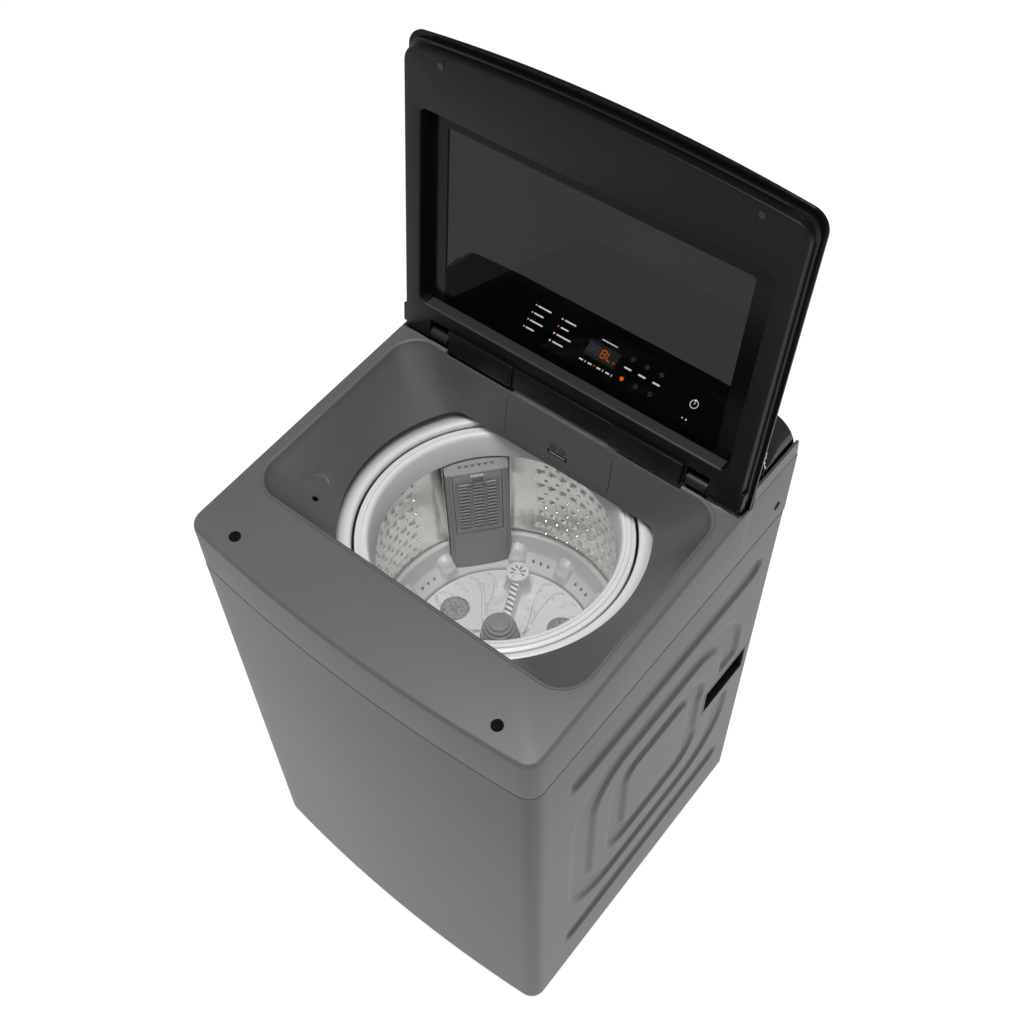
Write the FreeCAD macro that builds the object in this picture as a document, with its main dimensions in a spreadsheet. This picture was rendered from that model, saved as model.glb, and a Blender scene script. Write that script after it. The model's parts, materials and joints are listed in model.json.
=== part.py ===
"""Top load washing machine, built as the assembly of its separate pieces.

Millimetres, +Z up. The origin is on the floor, under the drum's axis: X runs across the machine and the
front faces -Y. The driving dimensions are in the spreadsheet "sizes", and every size and place below is a
formula of those cells. The lid's own pieces are drawn shut, with the hinge axis as their origin, and are
then turned open about it.
"""
import FreeCAD, Part
import Sketcher
import math
import os

DOC = FreeCAD.newDocument("washing_machine")
SHEET = DOC.addObject("Spreadsheet::Sheet", "sizes")
V = FreeCAD.Vector
NODES = []

SIZES = {
    # cabinet
    "body_width": 590.0, "body_depth": 574.0, "front_bow": 17.4, "corner_radius": 24.6,
    "sheet_steel": 1.0, "flange_width": 26.0, "cabinet_bottom": 18.0, "seam_height": 804.0,
    "seam_gap": 0.6, "plate_gap": 0.3, "running_gap": 0.05, "screw_head_radius": 4.0,
    "screw_head_height": 2.2, "screw_radius": 2.0, "screw_grip": 5.0,
    "back_screw_middle": 399.5, "back_screw_high": 710.0,
    # base and feet
    "base_low": 10.0, "base_inset": 1.5, "base_rise": 45.0, "base_rail": 62.0, "foot_radius": 20.0,
    "foot_inset": 48.0, "pad_height": 5.0, "leg_radius": 5.0, "leg_top": 58.0,
    "nut_radius": 10.0, "nut_height": 6.0,
    # side handles
    "handle_front_inset": 139.0, "handle_rear_inset": 14.0, "handle_low": 392.0, "handle_high": 462.0,
    "handle_depth": 32.0, "handle_wall": 2.5, "handle_flange": 7.0, "handle_proud": 1.2,
    # top cover and its recess
    "deck_front_height": 889.8, "deck_slope": 0.0777, "cover_wall": 3.0, "rim_half_width_inset": 24.0,
    "rim_front_inset": 100.0, "rim_back_inset": 145.0, "rim_corner": 42.0, "mouth_height": 828.0,
    "mouth_radius": 220.0, "mouth_front": -178.0, "mouth_back": 130.0, "mouth_corner": 28.0,
    "rear_deck_height": 931.0, "trough_floor": 914.0, "trough_front_inset": 140.0, "trough_wall": 4.0,
    "ridge_height": 917.0, "side_dip": 920.0, "buffer_radius": 8.0, "buffer_x": 224.0,
    "buffer_y_inset": 22.0, "buffer_stem": 3.5, "buffer_stem_length": 7.0, "plug_y_inset": 30.0,
    "plug_height": 842.0, "plug_radius": 7.0, "plug_proud": 0.8, "plug_stem": 3.0,
    # detergent drawer
    "drawer_left": -88.0, "drawer_right": 96.0, "drawer_low": 838.0, "drawer_high": 903.0,
    "drawer_rear_inset": 25.0, "drawer_wall": 2.2, "drawer_gap": 1.0, "tray_drop": 5.0,
    "divider_x": 20.0, "housing_wall": 2.5, "housing_rear_inset": 13.0,
    # lid, in its own frame: distances from the hinge axis
    "hinge_y_inset": 130.0, "hinge_rise": 10.9, "lid_opening": 101.0, "lid_half_width_inset": 0.0,
    "lid_front_past": 11.0, "lid_bow": 18.0, "lid_corner": 26.0, "lid_rear": 9.0,
    "inner_half_width_inset": 9.0,
    "inner_front_past": -4.5, "inner_bow": 13.0, "inner_corner": 24.0, "frame_half_width_inset": 5.0,
    "frame_front_past": 0.0, "inner_drop": 8.0, "frame_low": 5.0, "glass_low": 11.0, "glass_thick": 4.0,
    "window_half_width_inset": 36.0, "window_near": 49.0, "window_far_past": -93.0, "window_corner": 10.0,
    "lid_skin": 2.5, "lid_rib": 3.0, "cavity_near": 32.0, "block_inner": 84.0, "block_outer": 200.0,
    "block_drop": 6.0, "block_far": 27.0, "block_near": 11.0, "ear_out_inset": 5.0, "ear_far": 28.0,
    "ear_near": 3.0, "notch_inner": 204.0, "notch_outer": 239.0, "notch_far": 25.0,
    "cap_x": 225.5, "cap_far_past": -26.0, "cap_radius": 4.5, "cap_proud": 0.8, "cap_stem": 2.2,
    # hinges
    "knuckle_radius": 9.5, "knuckle_side_gap": 2.0, "knuckle_half_web": 6.0, "pin_radius": 4.0,
    "pin_reach": 5.0,
    # console
    "console_front_inset": 111.0, "console_rear_low_inset": 3.0, "console_lip": 944.0,
    "crown_shoulder_inset": 28.0,
    "shoulder_height": 993.0, "crown_front_inset": 21.0, "crown_rear_inset": 13.0, "crown_height": 999.0,
    "crown_rise": 0.5, "crown_bow": 13.0, "console_half_width_inset": 4.0, "console_end_radius": 46.0,
    "console_wall": 2.5, "base_cheek_height": 958.0, "cheek_wall": 3.4,
    "cheek_rear_inset": 7.0, "panel_half_width_inset": 23.0, "panel_thick": 1.4,
    "panel_near": 10.0, "panel_length": 76.0, "board_half_width": 125.0, "board_thick": 1.6,
    "board_length": 52.0, "display_left": -25.0, "display_right": 33.0,
    "display_near": 51.0, "display_length": 24.0, "display_height": 10.0,
    # drum group
    "ring_low": 768.0, "ring_high": 812.0, "ring_inner": 170.0, "ring_outer": 198.0,
    "drum_radius": 191.5, "drum_steel": 0.8, "drum_low": 540.0, "drum_high": 796.0,
    "band_high": 558.0, "band_foot_radius": 155.0, "band_foot_height": 500.0, "drum_floor": 486.0,
    "drum_under": 470.0, "hub_radius": 78.0, "hub_low": 461.0, "spin_tube_radius": 14.0,
    "shaft_radius": 7.0, "spin_tube_low": 332.0, "shaft_low": 331.0, "bowl_wall": 4.0,
    # pulsator
    "disc_radius": 152.0, "disc_edge_height": 498.0, "disc_thick": 3.5, "disc_centre_height": 512.0,
    "disc_skirt": 5.0, "boss_radius": 24.0, "cap_base_radius": 32.0, "cap_base_height": 534.0,
    "cap_top_height": 573.0, "rib_turn": 115.0, "rib_half_width": 15.0, "rib_start": 26.0,
    "rib_end": 119.0, "rib_height": 543.0, "rib_foot": 505.0, "rib_end_radius": 19.0, "mesh_turn": 55.0,
    "mesh_radius": 24.0, "mesh_reach": 103.0, "mesh_thick": 2.5, "rib_count": 3.0,
    # lint filter
    "filter_turn": 140.0, "filter_face": 158.0, "filter_back": 186.0, "filter_half_width": 50.0,
    "filter_low": 506.0, "filter_high": 764.0, "filter_wall": 3.0, "door_half_width": 38.0,
    "door_low": 600.0, "door_high": 748.0, "door_thick": 5.0, "door_gap": 0.6, "slot_count": 14.0,
    "slot_height": 4.0, "slot_width": 17.0, "slot_pitch": 7.6, "slot_columns": 3.0,
    "slot_column_pitch": 22.0, "slot_first": 620.0, "latch_width": 22.0, "latch_height": 10.0,
    "latch_proud": 4.0,
    # tub
    "tub_radius": 221.0, "tub_wall": 3.0, "tub_low": 455.0, "tub_floor": 459.0, "tub_high": 800.0,
    "tub_flange": 232.0, "tub_flange_thick": 6.0, "tub_bore": 22.0, "tub_ring_inner": 201.5,
    "tub_ring_outer": 242.0, "tub_ring_high": 815.0, "tub_ring_thick": 3.0, "lug_half_width": 20.0,
    "lug_low": 470.0, "lug_height": 14.0, "lug_start": 219.0, "lug_end_past": 22.0, "rod_hole": 5.0,
    # suspension
    "rod_x": 232.0, "rod_y": 222.0, "rod_radius": 4.0, "rod_low": 380.0, "bracket_height": 770.0,
    "bracket_plate": 2.0, "bracket_inner_x": 178.0, "bracket_half_y": 30.0, "bracket_drop": 30.0,
    "rod_cap_radius": 12.0, "rod_cap_height": 12.0, "spring_radius": 13.0, "spring_wire": 1.9,
    "spring_turns": 7.0, "cup_radius": 17.0, "cup_thick": 5.0, "spring_low": 396.0,
    # drive
    "plate_low": 444.0, "plate_thick": 3.0, "plate_half_y": 90.0, "plate_left": -236.0,
    "plate_right": 96.0, "plate_post_radius": 8.0, "plate_post_x": 70.0, "plate_post_y": 70.0,
    "gear_radius": 60.0, "gear_low": 344.0, "gear_wall": 6.0, "bearing_radius": 25.0,
    "bearing_length": 12.0, "seal_radius": 20.0, "pulley_radius": 66.0, "pulley_low": 300.0,
    "pulley_length": 18.0, "groove_depth": 6.0, "groove_half": 5.0, "motor_x": -152.0,
    "motor_radius": 58.0, "motor_low": 330.0, "motor_high": 430.0, "motor_shaft": 6.0,
    "motor_pulley_radius": 22.0, "motor_post_radius": 6.0, "motor_post_reach": 44.0,
    "belt_height": 8.0, "belt_thick": 4.0, "belt_gap": 0.4,
    # water and electrics
    "valve_x": 150.0, "valve_height": 872.0, "thread_radius": 13.2, "thread_shoulder": 15.5,
    "valve_half": 16.0, "valve_length": 34.0, "fill_radius": 7.0, "fill_wall": 1.5,
    "drain_x": 110.0, "drain_y": 120.0,
    "drain_body_radius": 22.0, "drain_body_low": 392.0, "drain_hose_radius": 15.0,
    "drain_hose_wall": 2.5, "drain_height": 96.0, "drain_bend": 60.0, "spigot_radius": 15.0,
    "spigot_shoulder": 18.0, "spigot_reach": 12.0, "spigot_flange": 24.0,
    "spigot_flange_thick": 3.0, "spigot_bore": 11.0,
    "sensor_x": -195.0, "sensor_y": 200.0, "sensor_radius": 26.0, "sensor_height": 24.0,
    "level_tube_radius": 3.5, "level_tube_bore": 1.8, "gland_x": 230.0,
    "gland_height": 760.0, "gland_radius": 9.0, "gland_reach": 12.0, "gland_bore": 4.2,
}


class Size:
    """A number that remembers the sheet formula it comes from."""

    def __init__(self, value, formula):
        self.value = float(value)
        self.formula = formula

    def __float__(self):
        return self.value

    def __add__(self, other):
        return Size(self.value + float(other), f"({self.formula} + {words(other)})")

    def __radd__(self, other):
        return Size(float(other) + self.value, f"({words(other)} + {self.formula})")

    def __sub__(self, other):
        return Size(self.value - float(other), f"({self.formula} - {words(other)})")

    def __rsub__(self, other):
        return Size(float(other) - self.value, f"({words(other)} - {self.formula})")

    def __mul__(self, other):
        return Size(self.value * float(other), f"({self.formula} * {words(other)})")

    def __rmul__(self, other):
        return Size(float(other) * self.value, f"({words(other)} * {self.formula})")

    def __truediv__(self, other):
        return Size(self.value / float(other), f"({self.formula} / {words(other)})")

    def __rtruediv__(self, other):
        return Size(float(other) / self.value, f"({words(other)} / {self.formula})")

    def __neg__(self):
        return Size(-self.value, f"(-1 * {self.formula})")


def words(number):
    """The formula of a size, or a plain number written out."""
    if isinstance(number, Size):
        return number.formula
    return f"({float(number)!r})"


def root(size):
    return Size(math.sqrt(float(size)), f"sqrt({words(size)})")


def cosine(degrees):
    return Size(math.cos(math.radians(float(degrees))), f"cos({words(degrees)})")


def sine(degrees):
    return Size(math.sin(math.radians(float(degrees))), f"sin({words(degrees)})")


def slope_angle(rise):
    return Size(math.degrees(math.atan(float(rise))), f"(atan({words(rise)}) / 1 deg)")


class Sheet:
    """The sheet's cells as sizes, each under its alias."""

    def __init__(self, sizes):
        for row, (alias, value) in enumerate(sizes.items(), start=1):
            SHEET.set(f"A{row}", alias)
            SHEET.set(f"B{row}", str(value))
            SHEET.setAlias(f"B{row}", alias)
            setattr(self, alias, Size(value, f"sizes.{alias}"))
        DOC.recompute()


s = Sheet(SIZES)


# ---- small tools: binding, placing, solids, outlines -------------------------------------------------

def bind(thing, path, size):
    """Ties one property to its formula."""
    thing.setExpression(path, words(size))


def place(thing, at=(0, 0, 0), axis=(0, 0, 1), turn=0.0):
    """Puts a solid at a point, turned by an angle about an axis through that point."""
    thing.Placement = FreeCAD.Placement(V(*[float(v) for v in at]), FreeCAD.Rotation(V(*axis), float(turn)))
    for name, value in zip("xyz", at):
        bind(thing, f"Placement.Base.{name}", value)
    if isinstance(turn, Size):
        bind(thing, "Placement.Rotation.Angle", turn)
    return thing


def box(name, low, high):
    """A block between two corners."""
    block = DOC.addObject("Part::Box", name)
    for side, start, end in zip(("Length", "Width", "Height"), low, high):
        bind(block, side, end - start)
    return place(block, low)


AXES = {"x": ((0, 1, 0), 90.0), "y": ((1, 0, 0), -90.0), "z": ((0, 0, 1), 0.0)}


def rod(name, radius, start, length, axis="z"):
    """A round bar from its start point along an axis."""
    bar = DOC.addObject("Part::Cylinder", name)
    bind(bar, "Radius", radius)
    bind(bar, "Height", length)
    direction, turn = AXES[axis]
    return place(bar, start, direction, turn)


def join(name, *things):
    fused = DOC.addObject("Part::MultiFuse", name)
    fused.Shapes = list(things)
    return fused


def cluster(name, things):
    """Separate solids kept under one name."""
    compound = DOC.addObject("Part::Compound", name)
    compound.Links = list(things)
    return compound


def cut(name, base, *tools):
    result = DOC.addObject("Part::Cut", name)
    result.Base = base
    result.Tool = tools[0] if len(tools) == 1 else join(name + "_tools", *tools)
    return result


def overlap(name, first, second):
    shared = DOC.addObject("Part::Common", name)
    shared.Base = first
    shared.Tool = second
    return shared


def tube(name, outer, inner, start, length, axis="z"):
    """A round bar with a bore right through it."""
    return cut(name, rod(name + "_outside", outer, start, length, axis),
               rod(name + "_bore", inner, start, length, axis))


def arc_between(start, end, radius):
    """The arc from start to end that curves left (positive radius) or right (negative)."""
    span = end - start
    middle = (start + end) * 0.5
    size = abs(radius)
    lift = math.sqrt(max(size * size - span.Length ** 2 / 4.0, 0.0))
    side = V(-span.y, span.x, 0).normalize() * (lift if radius > 0 else -lift)
    centre = middle + side
    first, last = (start, end) if radius > 0 else (end, start)
    begin = math.atan2(first.y - centre.y, first.x - centre.x)
    finish = math.atan2(last.y - centre.y, last.x - centre.x)
    if finish <= begin:
        finish += 2 * math.pi
    return Part.ArcOfCircle(Part.Circle(centre, V(0, 0, 1), size), begin, finish)


def outline(sketch, corners):
    """Draws a closed outline. A corner is (x, y), or (x, y, radius) where an arc leaves it."""
    points = [V(float(corner[0]), float(corner[1]), 0) for corner in corners]
    edges = []
    for index, corner in enumerate(corners):
        start, end = points[index], points[(index + 1) % len(points)]
        if len(corner) == 3:
            curve = sketch.addGeometry(arc_between(start, end, float(corner[2])), False)
            ends = (1, 2) if float(corner[2]) > 0 else (2, 1)
        else:
            curve = sketch.addGeometry(Part.LineSegment(start, end), False)
            ends = (1, 2)
        edges.append((curve,) + ends)
    for index, (curve, start, end) in enumerate(edges):
        follower = edges[(index + 1) % len(edges)]
        sketch.addConstraint(Sketcher.Constraint("Coincident", curve, end, follower[0], follower[1]))
        for kind, value in zip(("DistanceX", "DistanceY"), corners[index]):
            rule = sketch.addConstraint(Sketcher.Constraint(kind, -1, 1, curve, start, float(value)))
            if isinstance(value, Size):
                sketch.setExpression(f"Constraints[{rule}]", value.formula)
        if len(corners[index]) == 3:
            radius = corners[index][2]
            rule = sketch.addConstraint(Sketcher.Constraint("Radius", curve, abs(float(radius))))
            bend = radius if float(radius) > 0 else -radius
            sketch.setExpression(f"Constraints[{rule}]", words(bend))


def bowed(half, rear, front, bow, corner):
    """Plan outline with straight sides and back, a bowed front and rounded front corners."""
    bend = (half * half + bow * bow) / (bow * 2)
    centre = front - bow + bend
    reach = root((bend - corner) * (bend - corner) - (half - corner) * (half - corner))
    share = bend / (bend - corner)
    touch_x = (half - corner) * share
    touch_y = centre - reach * share
    side_y = centre - reach
    return [(-half, rear), (-half, side_y, corner), (-touch_x, touch_y, bend),
            (touch_x, touch_y, corner), (half, side_y), (half, rear)]


def rounded(left, right, low, high, corner):
    """A rectangle with rounded corners, from the upper end of its left side."""
    return [(left, high - corner), (left, low + corner, corner), (left + corner, low),
            (right - corner, low, corner), (right, low + corner), (right, high - corner, corner),
            (right - corner, high), (left + corner, high, corner)]


def cropped_circle(radius, front, back, corner):
    """A circle cut straight at its front and back, with rounded corners, in rounded()'s order."""
    share = radius / (radius - corner)
    inner = radius - corner
    back_x = root(inner * inner - (back - corner) * (back - corner))
    front_x = root(inner * inner - (front + corner) * (front + corner))
    back_y = (back - corner) * share
    front_y = (front + corner) * share
    return [(-back_x * share, back_y, radius), (-front_x * share, front_y, corner), (-front_x, front),
            (front_x, front, corner), (front_x * share, front_y, radius),
            (back_x * share, back_y, corner), (back_x, back), (-back_x, back, corner)]


def new_sketch(body, name, plane, offset):
    """A sketch on one of a body's own origin planes, moved along that plane's normal."""
    drawing = body.newObject("Sketcher::SketchObject", name)
    support = [face for face in body.Origin.OriginFeatures if face.Role == plane][0]
    drawing.AttachmentSupport = [(support, "")]
    drawing.MapMode = "FlatFace"
    bind(drawing, "AttachmentOffset.Base.z", offset)
    return drawing


def prism(name, corners, low, high, plane="XY_Plane"):
    """A body padded between two levels of the axis that its plane faces."""
    body = DOC.addObject("PartDesign::Body", name)
    offset = -high if plane == "XZ_Plane" else low
    drawing = new_sketch(body, name + "_outline", plane, offset)
    outline(drawing, corners)
    pad = body.newObject("PartDesign::Pad", name + "_pad")
    pad.Profile = drawing
    bind(pad, "Length", high - low)
    body.Tip = pad
    return body


def carve(body, name, loops, low, high, plane="XY_Plane"):
    """Pockets one or more loops out of a body, and makes sure that material went."""
    DOC.recompute()
    before = body.Shape.Volume
    offset = -low if plane == "XZ_Plane" else high
    drawing = new_sketch(body, name + "_outline", plane, offset)
    for loop in loops:
        outline(drawing, loop)
    pocket = body.newObject("PartDesign::Pocket", name)
    pocket.Profile = drawing
    bind(pocket, "Length", high - low)
    body.Tip = pocket
    DOC.recompute()
    if not body.Shape.Volume < before - 1.0:
        raise RuntimeError(f"{name} removed nothing")
    return body


def turned(name, corners):
    """A body turned about the drum's axis from a radius and height outline."""
    body = DOC.addObject("PartDesign::Body", name)
    drawing = new_sketch(body, name + "_outline", "XZ_Plane", 0.0)
    outline(drawing, corners)
    turn = body.newObject("PartDesign::Revolution", name + "_turn")
    turn.Profile = drawing
    turn.ReferenceAxis = (drawing, ["V_Axis"])
    turn.Angle = 360.0
    body.Tip = turn
    return body


def funnel(name, upper, upper_height, lower, lower_height):
    """A solid that runs straight from one outline to another of as many edges."""
    sections = []
    for suffix, corners, height in (("_top", upper, upper_height), ("_bottom", lower, lower_height)):
        drawing = DOC.addObject("Sketcher::SketchObject", name + suffix)
        outline(drawing, corners)
        place(drawing, (0, 0, height))
        sections.append(drawing)
    loft = DOC.addObject("Part::Loft", name)
    loft.Sections = sections
    loft.Solid = True
    loft.Ruled = True
    return loft


def node(thing, label):
    """Names a finished piece."""
    thing.Label = label
    NODES.append(thing)
    return thing


SIDES = (("left", -1), ("right", 1))
QUARTERS = ((-1, -1), (1, -1), (-1, 1), (1, 1))

half_width = s.body_width / 2
half_depth = s.body_depth / 2

# Places behind the drum are measured from the rear face, those before it from the front.
rim_back = half_depth - s.rim_back_inset
trough_front = half_depth - s.trough_front_inset
hinge_line = half_depth - s.hinge_y_inset
console_front = half_depth - s.console_front_inset
console_rear_low = half_depth - s.console_rear_low_inset
crown_shoulder = half_depth - s.crown_shoulder_inset
crown_front = half_depth - s.crown_front_inset
crown_rear = half_depth - s.crown_rear_inset
cheek_rear = half_depth - s.cheek_rear_inset
drawer_rear = half_depth - s.drawer_rear_inset
housing_rear = half_depth - s.housing_rear_inset
plug_y = half_depth - s.plug_y_inset
handle_front = half_depth - s.handle_front_inset
handle_rear = half_depth - s.handle_rear_inset
rim_front = s.rim_front_inset - half_depth
buffer_y = s.buffer_y_inset - half_depth

# The mouth's rim, the lid and the console keep their margins inside the body's sides.
rim_half_width = half_width - s.rim_half_width_inset
lid_half_width = half_width - s.lid_half_width_inset
inner_half_width = half_width - s.inner_half_width_inset
frame_half_width = half_width - s.frame_half_width_inset
ear_out = half_width - s.ear_out_inset
console_half_width = half_width - s.console_half_width_inset
panel_half_width = half_width - s.panel_half_width_inset
window_half_width = half_width - s.window_half_width_inset

# The lid reaches from its hinge to the front face; its layers end just past it or short of it.
lid_reach = hinge_line + half_depth
lid_front = lid_reach + s.lid_front_past
inner_front = lid_reach + s.inner_front_past
frame_front = lid_reach + s.frame_front_past
cap_far = lid_reach + s.cap_far_past
window_far = lid_reach + s.window_far_past


def deck_at(y):
    """Height of the sloped deck at a depth."""
    return s.deck_front_height + s.deck_slope * (half_depth + y)


# ---- cabinet: wrap, back, base and feet --------------------------------------------------------------

wrap_top = s.seam_height
wrap = prism("wrap_sheet", bowed(half_width, half_depth, -half_depth, s.front_bow, s.corner_radius),
             s.cabinet_bottom, wrap_top)
steel_in = half_width - s.sheet_steel
wrap_inside = bowed(steel_in, half_depth - s.sheet_steel, -half_depth + s.sheet_steel, s.front_bow,
                    s.corner_radius - s.sheet_steel)
carve(wrap, "wrap_hollow", [wrap_inside], s.cabinet_bottom, wrap_top)
carve(wrap, "wrap_back_opening",
      [[(-steel_in + s.flange_width, s.cabinet_bottom), (steel_in - s.flange_width, s.cabinet_bottom),
        (steel_in - s.flange_width, wrap_top), (-steel_in + s.flange_width, wrap_top)]],
      half_depth - s.sheet_steel * 3, half_depth + s.sheet_steel, "XZ_Plane")
handle_holes = [box(f"handle_hole_{side}",
                    (sign * half_width - s.sheet_steel * 2, handle_front + s.handle_flange / 2,
                     s.handle_low + s.handle_flange / 2),
                    (sign * half_width + s.sheet_steel * 2, handle_rear - s.handle_flange / 2,
                     s.handle_high - s.handle_flange / 2))
                for side, sign in SIDES]
back_y = half_depth - s.sheet_steel
back_half = steel_in - s.plate_gap
back_screw_places = [(sign * (back_half - s.flange_width / 2), height)
                     for sign in (-1, 1)
                     for height in (s.base_rise * 2, s.back_screw_middle, s.back_screw_high)]
wrap_screw_holes = [rod("wrap_screw_hole", s.screw_radius + s.plate_gap, (x, back_y - s.sheet_steel, z),
                        s.screw_grip, "y") for x, z in back_screw_places]
node(cut("wrap", wrap, *handle_holes, *wrap_screw_holes), "cabinet_wrap")

back_plate = box("back_plate", (-back_half, back_y - s.sheet_steel, s.base_rise + s.plate_gap),
                 (back_half, back_y, wrap_top))
spigot_x = s.drain_x
drill = s.sheet_steel * 4
back_holes = [rod("spigot_hole", s.spigot_shoulder + s.plate_gap,
                  (spigot_x, back_y - drill / 2, s.drain_height), drill, "y"),
              rod("gland_hole", s.gland_radius + s.plate_gap,
                  (s.gland_x, back_y - drill / 2, s.gland_height), drill, "y")]
screw_holes = [rod("back_screw_hole", s.screw_radius + s.plate_gap, (x, back_y - s.screw_grip, z),
                   s.screw_grip * 2, "y") for x, z in back_screw_places]
node(cut("back", back_plate, *back_holes, *screw_holes), "rear_panel")

base_half = half_width - s.base_inset
ring_half_x = half_width - s.base_rail
ring_half_y = half_depth - s.base_rail
base_skirt = prism("base_skirt",
                   bowed(base_half, half_depth - s.base_inset, -half_depth + s.base_inset, s.front_bow,
                         s.corner_radius - s.base_inset), s.base_low, s.cabinet_bottom - s.plate_gap)
seat_inset = s.sheet_steel + s.plate_gap
base_seat = prism("base_seat",
                  bowed(half_width - seat_inset, half_depth - seat_inset, -half_depth + seat_inset,
                        s.front_bow, s.corner_radius - seat_inset),
                  s.cabinet_bottom - s.plate_gap, s.base_rise)
base_opening = box("base_opening", (-ring_half_x, -ring_half_y, s.base_low - s.plate_gap),
                   (ring_half_x, ring_half_y, s.base_rise + s.plate_gap))
foot_x = half_width - s.foot_inset
foot_y = half_depth - s.foot_inset
leg_hole = rod("leg_hole", s.leg_radius + s.plate_gap, (foot_x, -foot_y, s.base_low - s.plate_gap),
               s.base_rise)
node(cut("base", join("base_solid", base_skirt, base_seat), base_opening, leg_hole), "base_frame")

fixed_feet = [rod("foot", s.foot_radius, (x * foot_x, y * foot_y, 0), s.base_low)
              for x, y in QUARTERS if (x, y) != (1, -1)]
node(cluster("fixed_feet", fixed_feet), "fixed_foot_pads")
foot_pad = rod("foot_pad", s.foot_radius, (foot_x, -foot_y, 0), s.pad_height)
foot_stud = rod("foot_stud", s.leg_radius, (foot_x, -foot_y, 0), s.leg_top)
node(join("foot_moulding", foot_pad, foot_stud), "levelling_foot")
node(tube("lock_nut", s.nut_radius, s.leg_radius + s.running_gap, (foot_x, -foot_y, s.base_rise),
          s.nut_height), "levelling_nut")

cups = []
for side, sign in SIDES:
    outer_x = sign * (half_width + s.handle_proud)
    face_x = sign * (half_width + s.plate_gap)
    deep_x = sign * (half_width - s.handle_depth)
    floor_x = sign * (half_width - s.handle_depth + s.handle_wall)
    hole = s.handle_flange / 2 + s.plate_gap
    wall = hole + s.handle_wall
    low_x, high_x = (deep_x, face_x) if sign > 0 else (face_x, deep_x)
    cup = box(f"cup_{side}", (low_x, handle_front + hole, s.handle_low + hole),
              (high_x, handle_rear - hole, s.handle_high - hole))
    low_x, high_x = (face_x, outer_x) if sign > 0 else (outer_x, face_x)
    flange = box(f"cup_flange_{side}", (low_x, handle_front, s.handle_low),
                 (high_x, handle_rear, s.handle_high))
    low_x, high_x = (floor_x, outer_x) if sign > 0 else (outer_x, floor_x)
    pocket = box(f"cup_pocket_{side}", (low_x, handle_front + wall, s.handle_low + wall),
                 (high_x, handle_rear - wall, s.handle_high - wall))
    cups.append(cut(f"handle_{side}", join(f"cup_solid_{side}", cup, flange), pocket))
node(cluster("handles", cups), "side_handle_cups")

screws = []
for x, z in back_screw_places:
    head = rod("screw_head", s.screw_head_radius, (x, half_depth, z), s.screw_head_height, "y")
    shank = rod("screw_shank", s.screw_radius, (x, back_y - s.screw_grip + s.plate_gap, z),
                s.screw_grip - s.plate_gap + s.sheet_steel, "y")
    screws.append(join("back_screw", head, shank))
node(cluster("back_screws", screws), "rear_panel_screws")

# ---- top cover: sloped deck, funnel recess, hinge trough ---------------------------------------------

far_front = -half_depth - s.front_bow * 2
far_back = half_depth + s.front_bow
sky = s.crown_height
cover_low = s.seam_height + s.seam_gap


def above_deck(drop):
    """Side profile of all that lies above the deck, or above a copy of it that is lower."""
    return [(far_front, deck_at(far_front) - drop), (console_front, deck_at(console_front) - drop),
            (console_front, s.rear_deck_height - drop), (far_back, s.rear_deck_height - drop),
            (far_back, sky), (far_front, sky)]


shell = prism("cover_shell", bowed(half_width, half_depth, -half_depth, s.front_bow, s.corner_radius),
              cover_low, sky)
carve(shell, "cover_top", [above_deck(0)], -half_width - s.cover_wall,
      half_width + s.cover_wall, "YZ_Plane")
cover_in = half_width - s.cover_wall
room = prism("cover_room",
             bowed(cover_in, half_depth - s.cover_wall, -half_depth + s.cover_wall, s.front_bow,
                   s.corner_radius - s.cover_wall), cover_low - s.cover_wall, sky)
carve(room, "cover_room_top", [above_deck(s.cover_wall)], -half_width, half_width, "YZ_Plane")
trough_roof = s.trough_floor - s.cover_wall
carve(room, "cover_room_trough",
      [[(trough_front - s.cover_wall, trough_roof), (console_front + s.cover_wall, trough_roof),
        (console_front + s.cover_wall, sky), (trough_front - s.cover_wall, sky)]],
      -half_width, half_width, "YZ_Plane")
rim_height = deck_at(rim_back)
wall = s.cover_wall
funnel_out = funnel("funnel_outside",
                    rounded(-rim_half_width - wall, rim_half_width + wall, rim_front - wall,
                            rim_back + wall, s.rim_corner + wall), rim_height,
                    cropped_circle(s.mouth_radius + wall, s.mouth_front - wall, s.mouth_back + wall,
                                   s.mouth_corner + wall), s.mouth_height)
funnel_in = funnel("funnel_inside",
                   rounded(-rim_half_width, rim_half_width, rim_front, rim_back, s.rim_corner),
                   rim_height,
                   cropped_circle(s.mouth_radius, s.mouth_front, s.mouth_back, s.mouth_corner),
                   s.mouth_height)
shell_room = cut("cover_hollowed", shell, room)
funnel_wall = overlap("funnel_in_cover", funnel_out, shell)
trough_side = half_width - s.trough_wall
trough = box("trough", (-trough_side, trough_front, s.trough_floor),
             (trough_side, console_front, sky))
dip = box("side_dip_cut", (-half_width - wall, trough_front + wall, s.side_dip),
          (half_width + wall, console_front, sky))
ridge = box("ridge_cut", (-s.notch_inner, hinge_line - s.block_far - wall, s.ridge_height),
            (s.notch_inner, trough_front + s.plate_gap, sky))
wall_lean = (rim_back - s.mouth_back) / (rim_height - s.mouth_height)


def wall_at(z):
    """Depth of the recess's back wall at a height."""
    return rim_back - (rim_height - z) * wall_lean


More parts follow.
